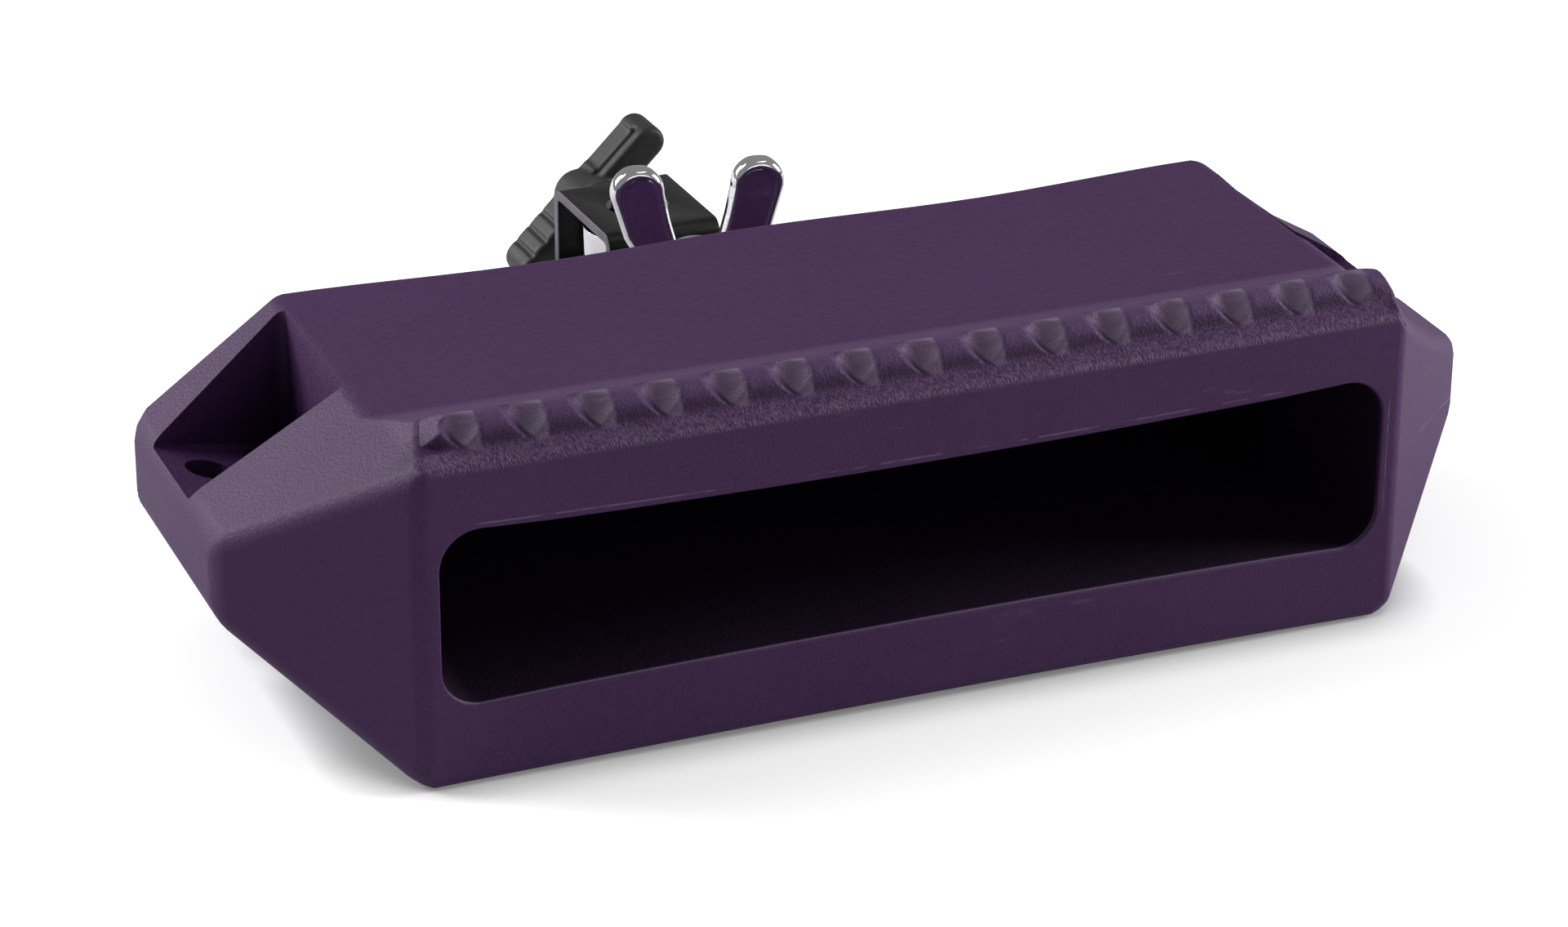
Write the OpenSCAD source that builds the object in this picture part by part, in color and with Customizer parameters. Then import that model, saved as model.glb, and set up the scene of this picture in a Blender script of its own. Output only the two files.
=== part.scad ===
// Moulded block percussion instrument: a hollow plastic block with a long mouth
// in its front and a scalloped scraper ridge along its top front edge. A shelf
// behind it carries a bent steel bracket, where an eye bolt and a hand knob
// clamp an upright stand rod. A wing nut on a fixed bolt sets the swivel.
// Millimetres, +Z up, front towards -Y. The origin is the centre of the base.

/* [Block] */
// Length of the flat base, and of the top between the sloped ends
base_l = 220; // [200:1:260]
// Depth of the block from front to back
block_d = 100; // [95:1:120]
// Height of the top face above the base
block_h = 71; // [68:1:80]
// How far each wedge end reaches past the base
end_reach = 33.4; // [31:0.1:40]
// How far back the front corner facet runs along the end
facet_d = 34.3; // [26:0.1:40]
// Height of the lower edge of each end face
end_low_h = 29; // [24:0.1:34]
// Height of the upper edge of each end face
end_high_h = 46.7; // [42:0.1:52]
// Depth of the two shallow hollows along the back
back_dip = 3.5; // [0.5:0.1:5]

/* [Sound cavity] */
// Wall between the cavity and each end
side_wall = 4.2; // [3:0.1:8]
// Thickness of the top wall above the mouth
roof_t = 13.6; // [10:0.1:16]
// Thickness of the bottom wall below the mouth
floor_t = 18.2; // [12:0.1:20]
// Thickness of the back wall
back_wall = 12; // [8:0.5:18]
// Corner radius of the mouth
mouth_r = 5.5; // [2:0.1:9]

/* [Scraper ridge] */
// How far the ridge reaches back from the front face
ridge_d = 31.3; // [26:0.1:36]
// Height of the ridge above the top face
ridge_h = 6.8; // [5:0.1:8]
// Number of scallops cut into the ridge
scallop_count = 15; // [9:2:15]
// Distance from one scallop to the next
scallop_pitch = 14.27; // [12:0.01:14.3]
// Radius of each scallop
scallop_r = 4.5; // [3:0.1:5.2]
// Slope of each scallop up to its rear end
scallop_tilt = 38; // [30:1:50]

/* [End pockets] */
// Width of each pocket beside the top face
pocket_inner_w = 44; // [40:0.5:50]
// Width of each pocket at the tip
pocket_outer_w = 28; // [26:0.5:34]
// Distance from the back face to the pocket's middle
pocket_back = 30.5; // [28:0.5:34]
// Wall between the pocket and the sound cavity
pocket_wall = 4; // [2.5:0.1:6]
// Height of the pocket floor at the tip above the end face's upper edge
pocket_lift = 0.3; // [0.1:0.1:1]
// Angle by which the pocket floor falls towards the middle
pocket_tilt = 14; // [0:1:16]
// Material left between the pocket and the tip
pocket_tip_gap = 1.2; // [1:0.1:3]
// Diameter of the circle through the three fixing holes
fixing_circle_d = 20; // [17:0.1:22]
// Diameter of each fixing hole
fixing_hole_d = 10; // [5:0.1:10.4]
// Distance from the base's end to the fixing circle's centre
fixing_out = 12.5; // [12.3:0.1:14]
// Distance from the back face to the fixing circle's centre
fixing_back = 26.5; // [26:0.1:28]

/* [Shelf] */
// Width of the shelf behind the block
shelf_w = 32; // [28:0.5:40]
// Distance from the back face to the swivel bolt
bolt_out = 32; // [28:0.5:40]
// Height of the shelf's upper face above the base
shelf_top_h = 36; // [34.5:0.5:37.5]
// Thickness of the shelf
shelf_t = 12; // [9:0.5:14]
// Thickness of the upright rib under the shelf
rib_t = 8; // [5:0.5:12]
// How far the rib runs out from the back face
rib_reach = 17; // [10:0.5:18]

/* [Swivel bolt] */
// Thread diameter of the swivel bolt and of the eye bolt
thread_d = 8; // [6:0.1:8.5]
// Diameter of the bolt's domed head
bolt_head_d = 19; // [16:0.5:22]
// Height of the bolt's domed head
bolt_head_h = 4; // [3:0.1:5]
// How far the bolt's end stands above the wing nut's hub
bolt_proud = 0.4; // [0.1:0.1:1]
// Side of the square plate under the shelf
bolt_plate_w = 24; // [22:0.5:28]
// Thickness of the square plate under the shelf
bolt_plate_t = 2.5; // [2:0.1:3]
// Thickness of the flat washer on the bracket's foot
foot_washer_t = 1.6; // [1:0.1:2]
// Diameter of the flat washer on the bracket's foot
foot_washer_d = 18; // [15.5:0.5:22]
// Thickness of the spring washer under the wing nut
lock_washer_t = 2; // [1.4:0.1:2.4]
// Diameter of the spring washer under the wing nut
lock_washer_d = 14.4; // [13:0.1:15]

/* [Isolators] */
// Diameter of the rubber isolators' flanges
isolator_d = 27; // [24:0.5:28]
// Thickness of the rubber isolators' flanges
isolator_t = 3; // [2:0.1:4]
// Diameter of the rubber isolators' necks in the shelf
neck_d = 16; // [14:0.5:18]
// Outer diameter of the steel spacer sleeve
sleeve_d = 11; // [10:0.1:12]

/* [Clamp bracket] */
// Thickness of the bent sheet
sheet_t = 2.5; // [2:0.1:3]
// Width of the bracket
bracket_w = 28; // [26:0.5:32]
// Length of the channel from front to back
channel_d = 35; // [34:0.1:38]
// Height of the channel
channel_h = 25; // [23.5:0.1:28]
// Height of the channel's top above the underside of the foot
foot_drop = 11; // [9.5:0.1:11.5]
// Angle by which the bracket stands turned
bracket_turn = 2; // [-10:1:10]
// Distance from the swivel bolt to the front of the channel
channel_out = 19; // [18.5:0.1:22]
// Outer radius of the bends
bend_r = 3.5; // [3.1:0.1:4.5]
// Diameter of the rod's hole through the channel and the eye
rod_hole_d = 14.4; // [13.2:0.1:15.2]
// Length of the channel's lower flange
lower_flange_l = 32; // [28:0.5:33]

/* [Eye bolt] */
// Outer diameter of the eye
eye_d = 26; // [24:0.1:26.5]
// Height of the eye
eye_h = 13; // [11:0.1:14]
// Distance from the channel's front to the eye's centre
eye_in = 17; // [16.9:0.1:17.4]
// Depth of the eye's centre below the channel's top
eye_drop = 11; // [10:0.1:11.5]

/* [Wing nut] */
// Distance over both wings
wing_span = 40.5; // [36:0.5:46]
// Height of the wing nut
wing_nut_h = 28.4; // [24:0.1:32]
// Thickness of each wing
wing_t = 5.5; // [4:0.1:7]
// Width of each wing at its rounded tip
wing_w = 12.4; // [10:0.1:14]
// Diameter of the hub's base
hub_d = 14.6; // [13:0.1:18]
// Height of the hub
hub_h = 8; // [7:0.1:8.8]
// Angle by which the wing nut stands turned
wing_turn = -8; // [-45:1:45]

/* [Hand knob] */
// Length of the hand knob's bar
knob_l = 49; // [44:0.5:60]
// Width of the bar
knob_w = 8; // [6.5:0.5:10]
// Depth of the bar along the eye bolt
knob_bar_d = 12.8; // [11:0.1:14]
// Depth of the whole knob along the eye bolt
knob_d = 19; // [18:0.5:22]
// Diameter of the knob's hub
knob_hub_d = 19; // [18:0.5:22]
// Angle of the bar above the horizontal
knob_turn = 44; // [0:1:90]
// Number of grip grooves on the bar's lower half
grip_count = 3; // [1:1:4]
// Distance from one grip groove to the next
grip_pitch = 5; // [3:0.1:5.2]
// Depth of each grip groove
grip_depth = 0.8; // [0.3:0.1:1.2]
// Diameter of the knob's brass insert
insert_d = 11.6; // [10.4:0.1:13]
// Length of the knob's brass insert
insert_l = 14; // [12:0.5:15]
// How far the eye bolt can run past the insert into the knob
insert_spare = 2.5; // [1.9:0.1:2.8]
// Thickness of the steel washer behind the bracket
knob_washer_t = 1.6; // [1:0.1:2]
// Diameter of the steel washer behind the bracket
knob_washer_d = 18; // [16:0.5:20]
// Thickness of the nylon washer against the knob
nylon_washer_t = 1.2; // [0.8:0.1:1.6]
// Diameter of the nylon washer against the knob
nylon_washer_d = 16; // [14:0.5:18]

/* [Fits] */
// Radial clearance of a thread or shaft in its bore
run_fit = 0.05; // [0.02:0.01:0.1]
// Clearance between parts that move past each other
part_gap = 0.3; // [0.2:0.05:0.5]
// Radial clearance of a washer or plate on its bolt
loose_fit = 0.3; // [0.2:0.05:0.4]

/* [Hidden] */
$fn = 64;

// How far a cutting shape runs past the face that it opens
overrun = 1;

// Block
front_y = -block_d / 2;
back_y = block_d / 2;
tip_x = base_l / 2 + end_reach;
slope = (block_h - end_high_h) / end_reach;
ridge_back_y = front_y + ridge_d;
ridge_top = block_h + ridge_h;

// Crest of the ridge's low wedge, from the front face: share of its depth, then share of its height
crest_shares = [0.56, 0.59];
// Outline of the bead on the wedge's front slope: share of the ridge's depth, then share of its height
bead_shares = [
    [0.19, 0], [0.2, 0.24], [0.235, 0.63], [0.28, 0.87], [0.33, 0.98],
    [0.385, 1], [0.44, 0.94], [0.5, 0.79], [0.56, 0.59], [0.56, 0]
];
// How far the bead starts in from the ridge's left end, as a share of the ridge's depth
bead_start_share = 0.2;
// How far the bead's right end is cut away: share of its height, then of its depth
ridge_end_shares = [0.34, 0.2];
// Middle of the row of scallops, as a share of their pitch
scallop_shift_share = 0.08;
// Lower end of each scallop: share of the ridge's depth, then share of its height
scallop_foot_shares = [0.243, 0.02];

// Back outline: share of half the base's length, then share of the dip
back_shares = [[0.89, 0], [0.51, 1], [0.2, 0.6], [0, 0.45]];

// Pockets
pocket_y = back_y - pocket_back;
pocket_floor = end_high_h + pocket_lift;
pocket_in_x = base_l / 2 - side_wall + pocket_wall;
pocket_out_x = tip_x - pocket_tip_gap;
fixing_x = base_l / 2 + fixing_out;
fixing_y = back_y - fixing_back;

// Stack on the swivel bolt, from the bottom up
bolt_y = back_y + bolt_out;
shelf_low = shelf_top_h - shelf_t;
plate_low = shelf_low - isolator_t - bolt_plate_t;
foot_low = shelf_top_h + isolator_t;
foot_top = foot_low + sheet_t;
lock_low = foot_top + foot_washer_t + part_gap;
nut_low = lock_low + lock_washer_t;
bolt_top = nut_low + hub_h + bolt_proud;
bolt_hole_r = thread_d / 2 + loose_fit;
// Depth of each isolator's neck, as a share of the shelf's thickness
neck_share = 0.48;

// Channel and eye
channel_y = bolt_y + channel_out;
channel_back = channel_y + channel_d;
channel_top = foot_low + foot_drop;
channel_low = channel_top - channel_h;
eye_y = channel_y + eye_in;
eye_z = channel_top - eye_drop;

// Knob
nylon_y = channel_back + knob_washer_t;
knob_y = nylon_y + nylon_washer_t;
shank_end = knob_y + insert_l;
// Place of the first grip groove, as a share of half the bar's length
grip_share = 0.9;

// An outline drawn in X and Z, made d deep along Y and centred on Y
module deep_y(d) {
    rotate([90, 0, 0])
        translate([0, 0, -d / 2])
            linear_extrude(height = d)
                children();
}

// An outline drawn in Y and Z, made w wide along X and centred on X
module wide_x(w) {
    rotate([90, 0, 90])
        translate([0, 0, -w / 2])
            linear_extrude(height = w)
                children();
}

// A flat rectangle w by h with round corners, centred
module round_rect(w, h, r) {
    square([w - 2 * r, h], center = true);
    square([w, h - 2 * r], center = true);
    for (x = [-1, 1])
        for (y = [-1, 1])
            translate([x * (w / 2 - r), y * (h / 2 - r)])
                circle(r = r);
}

// What swings with the bracket, turned about the swivel bolt
module swung() {
    translate([0, bolt_y, 0])
        rotate([0, 0, bracket_turn])
            translate([0, -bolt_y, 0])
                children();
}

// A flat ring lying at height z on the swivel bolt
module bolt_ring(z, outer_d, inner_r, t) {
    translate([0, bolt_y, z])
        difference() {
            cylinder(h = t, d = outer_d);
            translate([0, 0, -overrun])
                cylinder(h = t + 2 * overrun, r = inner_r);
        }
}

// A flat ring standing at y on the eye bolt
module shank_ring(y, outer_d, inner_r, t) {
    translate([0, y, eye_z])
        rotate([-90, 0, 0])
            difference() {
                cylinder(h = t, d = outer_d);
                translate([0, 0, -overrun])
                    cylinder(h = t + 2 * overrun, r = inner_r);
            }
}

// Front view of the block without its ridge
module block_elevation() {
    polygon([
        [-base_l / 2, 0], [base_l / 2, 0], [tip_x, end_low_h], [tip_x, end_high_h],
        [base_l / 2, block_h], [-base_l / 2, block_h], [-tip_x, end_high_h], [-tip_x, end_low_h]
    ]);
}

// Plan view of the block, with its cut front corners and hollowed back
module block_plan() {
    right_back = [for (s = back_shares) [s[0] * base_l / 2, back_y - s[1] * back_dip]];
    left_back = [for (i = [len(back_shares) - 1:-1:0]) [-right_back[i][0], right_back[i][1]]];
    polygon(concat(
        [[-tip_x, back_y], [-tip_x, front_y + facet_d], [-base_l / 2, front_y]],
        [[base_l / 2, front_y], [tip_x, front_y + facet_d], [tip_x, back_y]],
        right_back,
        left_back
    ));
}

// Side view of the ridge's wedge, sunk into the block below the top face
module wedge_profile() {
    sunk_z = block_h - roof_t / 2;
    polygon([
        [ridge_back_y, sunk_z], [front_y, sunk_z], [front_y, block_h],
        [front_y + crest_shares[0] * ridge_d, block_h + crest_shares[1] * ridge_h], [ridge_back_y, block_h]
    ]);
}

// Front view of the wedge: its left end follows the sloped end of the block
module wedge_elevation() {
    polygon([
        [-base_l / 2, 0], [base_l / 2, 0], [base_l / 2, ridge_top],
        [ridge_h / slope - base_l / 2, ridge_top], [-base_l / 2, block_h]
    ]);
}

// Side view of the bead
module bead_profile() {
    polygon([for (s = bead_shares) [front_y + s[0] * ridge_d, block_h + s[1] * ridge_h]]);
}

// Front view of the bead, with a blunt right end
module bead_elevation() {
    start_x = bead_start_share * ridge_d - base_l / 2;
    blunt_x = base_l / 2 - ridge_end_shares[1] * ridge_d;
    polygon([
        [start_x, 0], [base_l / 2, 0], [base_l / 2, ridge_top - ridge_end_shares[0] * ridge_h],
        [blunt_x, ridge_top], [start_x + ridge_end_shares[1] * ridge_h, ridge_top],
        [start_x, ridge_top - ridge_end_shares[1] * ridge_h]
    ]);
}

// One scallop: a round groove that starts in a round hollow and slopes up to the rear
module scallop() {
    translate([0, front_y + scallop_foot_shares[0] * ridge_d,
               block_h + scallop_foot_shares[1] * ridge_h + scallop_r]) {
        sphere(r = scallop_r);
        rotate([scallop_tilt - 90, 0, 0])
            cylinder(h = ridge_d, r = scallop_r);
    }
}

// The row of scallops
module scallops() {
    for (i = [0:scallop_count - 1])
        translate([(i - (scallop_count - 1) / 2 + scallop_shift_share) * scallop_pitch, 0, 0])
            scallop();
}

// The pocket in the right end, its floor falling towards the middle, with its fixing holes
module end_pocket() {
    intersection() {
        linear_extrude(height = 2 * block_h)
            polygon([
                [pocket_in_x, pocket_y - pocket_inner_w / 2],
                [pocket_out_x, pocket_y - pocket_outer_w / 2],
                [pocket_out_x, pocket_y + pocket_outer_w / 2],
                [pocket_in_x, pocket_y + pocket_inner_w / 2]
            ]);
        translate([pocket_out_x, 0, pocket_floor])
            rotate([0, -pocket_tilt, 0])
                translate([-base_l / 2, -block_d / 2, 0])
                    cube([base_l, block_d, block_h]);
    }
    for (a = [0, 120, 240])
        translate([fixing_x, fixing_y, -overrun])
            rotate([0, 0, a])
                translate([fixing_circle_d / 2, 0, 0])
                    cylinder(h = block_h, d = fixing_hole_d);
}

// The sound cavity behind the mouth
module sound_cavity() {
    mouth_w = base_l - 2 * side_wall;
    mouth_h = block_h - roof_t - floor_t;
    translate([0, front_y - overrun, floor_t + mouth_h / 2])
        rotate([-90, 0, 0])
            linear_extrude(height = block_d - back_wall + overrun)
                round_rect(mouth_w, mouth_h, mouth_r);
}

// The shelf with its rib, grown out of the back wall
module shelf() {
    root_y = back_y - back_wall / 2;
    translate([0, 0, shelf_low])
        linear_extrude(height = shelf_t) {
            translate([-shelf_w / 2, root_y])
                square([shelf_w, bolt_y - root_y]);
            translate([0, bolt_y])
                circle(d = shelf_w);
        }
    wide_x(rib_t)
        polygon([
            [root_y, 0], [back_y, 0], [back_y + rib_reach, shelf_low],
            [back_y + rib_reach, shelf_low + shelf_t / 2], [root_y, shelf_low + shelf_t / 2]
        ]);
}

module block() {
    color([0.25, 0.17, 0.29])
        difference() {
            union() {
                intersection() {
                    deep_y(block_d)
                        block_elevation();
                    linear_extrude(height = block_h)
                        block_plan();
                }
                intersection() {
                    wide_x(base_l)
                        wedge_profile();
                    deep_y(block_d)
                        wedge_elevation();
                }
                intersection() {
                    wide_x(base_l)
                        bead_profile();
                    deep_y(block_d)
                        bead_elevation();
                }
                shelf();
            }
            sound_cavity();
            scallops();
            end_pocket();
            mirror([1, 0, 0])
                end_pocket();
            translate([0, bolt_y, shelf_low - overrun])
                cylinder(h = shelf_t + 2 * overrun, d = neck_d);
        }
}

// One flanged rubber bush, its neck pointing up
module isolator() {
    difference() {
        union() {
            cylinder(h = isolator_t, d = isolator_d);
            cylinder(h = isolator_t + shelf_t * neck_share, d = neck_d);
        }
        translate([0, 0, -overrun])
            cylinder(h = isolator_t + shelf_t + 2 * overrun, d = sleeve_d);
    }
}

module lower_isolator() {
    color([0.08, 0.08, 0.08])
        translate([0, bolt_y, shelf_low - isolator_t])
            isolator();
}

module upper_isolator() {
    color([0.08, 0.08, 0.08])
        translate([0, bolt_y, foot_low])
            mirror([0, 0, 1])
                isolator();
}

module spacer_sleeve() {
    color([0.7, 0.7, 0.72])
        bolt_ring(shelf_low - isolator_t, sleeve_d, bolt_hole_r, shelf_t + 2 * isolator_t);
}

// Square plate whose square hole keeps the bolt from turning
module bolt_plate() {
    neck_w = thread_d + 2 * loose_fit;
    color([0.7, 0.7, 0.72])
        translate([0, bolt_y, plate_low + bolt_plate_t / 2])
            difference() {
                cube([bolt_plate_w, bolt_plate_w, bolt_plate_t], center = true);
                cube([neck_w, neck_w, bolt_plate_t + 2 * overrun], center = true);
            }
}

// Carriage bolt: domed head, square neck and round shank
module swivel_bolt() {
    dome_r = (bolt_head_d * bolt_head_d / 4 + bolt_head_h * bolt_head_h) / (2 * bolt_head_h);
    color([0.75, 0.75, 0.77])
        translate([0, bolt_y, plate_low]) {
            intersection() {
                translate([0, 0, dome_r - bolt_head_h])
                    sphere(r = dome_r);
                translate([0, 0, -bolt_head_h])
                    cylinder(h = bolt_head_h, d = bolt_head_d);
            }
            translate([-thread_d / 2, -thread_d / 2, -bolt_head_h / 2])
                cube([thread_d, thread_d, bolt_plate_t + bolt_head_h / 2]);
            cylinder(h = bolt_top - plate_low, d = thread_d);
        }
}

// Side view of the bracket: foot, step, top flange, back and lower flange
module bracket_profile() {
    inner_r = bend_r - sheet_t;
    difference() {
        translate([(channel_y + channel_back) / 2, channel_top - channel_h / 2])
            round_rect(channel_d, channel_h, bend_r);
        translate([(channel_y + channel_back) / 2, channel_top - channel_h / 2])
            round_rect(channel_d - 2 * sheet_t, channel_h - 2 * sheet_t, inner_r);
        translate([channel_y - overrun, channel_low - overrun])
            square([sheet_t + bend_r + overrun, foot_low - channel_low + overrun]);
        translate([channel_y - overrun, channel_low - overrun])
            square([channel_d - lower_flange_l + overrun, sheet_t + 2 * overrun]);
    }
    translate([bolt_y, foot_low])
        square([channel_out + sheet_t, sheet_t]);
}

module clamp_bracket() {
    color([0.06, 0.06, 0.065])
        difference() {
            union() {
                wide_x(bracket_w)
                    bracket_profile();
                translate([0, bolt_y, foot_low])
                    cylinder(h = sheet_t, d = bracket_w);
            }
            translate([0, bolt_y, foot_low - overrun])
                cylinder(h = sheet_t + 2 * overrun, r = thread_d / 2 + 2 * run_fit);
            translate([0, eye_y, channel_low - overrun])
                cylinder(h = channel_h + 2 * overrun, d = rod_hole_d);
            translate([0, channel_back - sheet_t - overrun, eye_z])
                rotate([-90, 0, 0])
                    cylinder(h = sheet_t + 2 * overrun, r = thread_d / 2 + 2 * run_fit);
        }
}

module foot_washer() {
    color([0.8, 0.8, 0.82])
        bolt_ring(foot_top, foot_washer_d, bolt_hole_r, foot_washer_t);
}

// Split spring washer
module lock_washer() {
    color([0.75, 0.75, 0.77])
        difference() {
            bolt_ring(lock_low, lock_washer_d, bolt_hole_r, lock_washer_t);
            translate([-lock_washer_t / 2, bolt_y - lock_washer_d, lock_low - overrun])
                cube([lock_washer_t, lock_washer_d, lock_washer_t + 2 * overrun]);
        }
}

// Front view of one wing, from the hub to its round tip
module wing_outline() {
    tip_r = wing_w / 2;
    tip_x0 = wing_span / 2 - tip_r;
    tip_z0 = wing_nut_h - tip_r;
    // Share of the way out to the tip, then share of the nut's height
    outer_shares = [[0.3, 0.04], [0.48, 0.07], [0.72, 0.2], [0.84, 0.36]];
    inner_shares = [[0.46, 0.74], [0.36, 0.55], [0.24, 0.3]];
    translate([tip_x0, tip_z0])
        circle(r = tip_r);
    polygon(concat(
        [for (s = outer_shares) [s[0] * wing_span / 2, s[1] * wing_nut_h]],
        [[tip_x0 + tip_r * cos(16), tip_z0 - tip_r * sin(16)]],
        [[tip_x0 - tip_r * cos(16), tip_z0 + tip_r * sin(16)]],
        [for (s = inner_shares) [s[0] * wing_span / 2, s[1] * wing_nut_h]]
    ));
}

module wing_nut() {
    // Diameter of the hub's top as a share of its base
    hub_top_share = 0.86;
    color([0.85, 0.85, 0.87])
        translate([0, bolt_y, nut_low])
            rotate([0, 0, wing_turn])
                difference() {
                    union() {
                        cylinder(h = hub_h, d1 = hub_d, d2 = hub_d * hub_top_share);
                        for (a = [0, 180])
                            rotate([0, 0, a])
                                deep_y(wing_t)
                                    wing_outline();
                    }
                    translate([0, 0, -overrun])
                        cylinder(h = wing_nut_h + 2 * overrun, r = thread_d / 2 + run_fit);
                }
}

module eye_bolt() {
    color([0.85, 0.85, 0.87])
        difference() {
            union() {
                translate([0, eye_y, eye_z - eye_h / 2])
                    cylinder(h = eye_h, d = eye_d);
                translate([0, eye_y, eye_z])
                    rotate([-90, 0, 0])
                        cylinder(h = shank_end - eye_y, d = thread_d);
            }
            translate([0, eye_y, eye_z - eye_h / 2 - overrun])
                cylinder(h = eye_h + 2 * overrun, d = rod_hole_d);
        }
}

module knob_washer() {
    color([0.75, 0.75, 0.77])
        shank_ring(channel_back, knob_washer_d, bolt_hole_r, knob_washer_t);
}

module nylon_washer() {
    color([0.9, 0.9, 0.88])
        shank_ring(nylon_y, nylon_washer_d, bolt_hole_r, nylon_washer_t);
}

module knob_insert() {
    color([0.8, 0.65, 0.3])
        shank_ring(knob_y, insert_d, thread_d / 2 + run_fit, insert_l);
}

// Outline of the hand knob's bar
module bar_outline() {
    bar_r = knob_w / 2;
    square([knob_l - 2 * bar_r, knob_w], center = true);
    for (x = [-1, 1])
        translate([x * (knob_l / 2 - bar_r), 0])
            circle(r = bar_r);
}

// The knob's bar with grip grooves across the upper side of its lower half
module knob_bar() {
    grip_r = grip_pitch / 4;
    difference() {
        translate([0, knob_y + knob_d - knob_bar_d / 2, 0])
            deep_y(knob_bar_d)
                bar_outline();
        for (i = [0:grip_count - 1])
            translate([i * grip_pitch - grip_share * (knob_l / 2 - knob_w / 2), knob_y,
                       knob_w / 2 + grip_r - grip_depth])
                rotate([-90, 0, 0])
                    cylinder(h = knob_d + overrun, r = grip_r);
    }
}

module hand_knob() {
    // Diameter of the hub's end as a share of its base
    hub_end_share = 0.72;
    color([0.1, 0.1, 0.11])
        difference() {
            translate([0, 0, eye_z])
                rotate([0, -knob_turn, 0]) {
                    knob_bar();
                    translate([0, knob_y, 0])
                        rotate([-90, 0, 0])
                            cylinder(h = knob_d, d1 = knob_hub_d, d2 = knob_hub_d * hub_end_share);
                }
            translate([0, knob_y - overrun, eye_z])
                rotate([-90, 0, 0])
                    cylinder(h = insert_l + overrun, d = insert_d);
            translate([0, knob_y, eye_z])
                rotate([-90, 0, 0])
                    cylinder(h = insert_l + insert_spare, r = bolt_hole_r);
        }
}

block();
bolt_plate();
swivel_bolt();
lower_isolator();
upper_isolator();
spacer_sleeve();
swung() clamp_bracket();
swung() foot_washer();
lock_washer();
wing_nut();
swung() eye_bolt();
swung() knob_washer();
swung() nylon_washer();
swung() knob_insert();
swung() hand_knob();
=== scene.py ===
# %% [markdown]
# This lesson dresses a moulded percussion block. The construction comes in as a fixed frame of exact
# solids. Everything that shows gets either a better material or a new mesh that stands for the solid.

# %% The frame
import math

import bmesh
import bpy
from mathutils import Matrix, Vector


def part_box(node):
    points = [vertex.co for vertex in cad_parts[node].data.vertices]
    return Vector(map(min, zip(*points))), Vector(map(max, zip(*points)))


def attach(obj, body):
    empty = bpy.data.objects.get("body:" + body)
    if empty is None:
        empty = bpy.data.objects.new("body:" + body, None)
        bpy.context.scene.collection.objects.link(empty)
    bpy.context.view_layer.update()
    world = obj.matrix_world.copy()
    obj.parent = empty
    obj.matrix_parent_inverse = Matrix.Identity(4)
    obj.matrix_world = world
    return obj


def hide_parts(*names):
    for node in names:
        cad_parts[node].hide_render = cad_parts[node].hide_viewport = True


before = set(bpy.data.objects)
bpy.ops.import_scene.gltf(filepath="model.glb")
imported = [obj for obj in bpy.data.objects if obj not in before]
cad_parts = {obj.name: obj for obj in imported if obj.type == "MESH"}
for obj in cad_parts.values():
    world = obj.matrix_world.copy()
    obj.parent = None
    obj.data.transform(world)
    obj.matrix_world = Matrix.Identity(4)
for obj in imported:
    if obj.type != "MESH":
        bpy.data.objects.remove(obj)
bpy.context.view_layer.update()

MM = 0.001
print("frame:", sorted(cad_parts))

# %% [markdown]
# Sizes that several pieces share are read from the frame, in metres, so that the new meshes follow the
# solids. What the frame can't tell, such as where the top's flat part ends, repeats a size of the
# construction.

# %% Shared sizes
block_low, block_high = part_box("block")
TIP_X = block_high.x
FRONT_Y = block_low.y
BACK_Y = -FRONT_Y
TOP_Z = 71 * MM
HALF_L = 110 * MM
END_LOW = 29 * MM
END_HIGH = 46.7 * MM
FACET_Y = FRONT_Y + 34.3 * MM
CLAMP_TURN = math.radians(2)
print("block half length", round(TIP_X / MM, 1), "front", round(FRONT_Y / MM, 1))

# %% [markdown]
# Modelling operators act on what is selected, and the frame arrives selected. These helpers deselect
# first, then pick vertices or edges by where they are, as a hand would with a box select.

# %% Helpers for modelling
def only(obj):
    if bpy.context.mode != "OBJECT":
        bpy.ops.object.mode_set(mode="OBJECT")
    bpy.ops.object.select_all(action="DESELECT")
    obj.select_set(True)
    bpy.context.view_layer.objects.active = obj


def edit(obj, kind="VERT"):
    only(obj)
    bpy.ops.object.mode_set(mode="EDIT")
    bpy.ops.mesh.select_mode(type=kind)


def done():
    bpy.ops.object.mode_set(mode="OBJECT")


def pick(obj, kind, test):
    """Selects the vertices or edges that pass the test, and says how many."""
    bpy.ops.mesh.select_all(action="DESELECT")
    mesh = bmesh.from_edit_mesh(obj.data)
    group = {"VERT": mesh.verts, "EDGE": mesh.edges}[kind]
    found = [part for part in group if test(part)]
    for part in found:
        part.select_set(True)
    mesh.select_flush_mode()
    bmesh.update_edit_mesh(obj.data)
    return len(found)


def middle(edge):
    return (edge.verts[0].co + edge.verts[1].co) / 2


def reach_along(edge, axis):
    """How far the edge reaches along one axis."""
    return abs(edge.verts[0].co[axis] - edge.verts[1].co[axis])


def piece_from(name, mesh):
    """Makes an object of a mesh that was built corner by corner."""
    data = bpy.data.meshes.new(name)
    mesh.to_mesh(data)
    mesh.free()
    obj = bpy.data.objects.new(name, data)
    bpy.context.scene.collection.objects.link(obj)
    return obj


def box_piece(name, low, high):
    low, high = Vector(low), Vector(high)
    bpy.ops.object.select_all(action="DESELECT")
    bpy.ops.mesh.primitive_cube_add(size=1, location=(low + high) / 2, scale=high - low)
    obj = bpy.context.object
    obj.name = obj.data.name = name
    bpy.ops.object.transform_apply(location=True, rotation=True, scale=True)
    return obj


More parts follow.
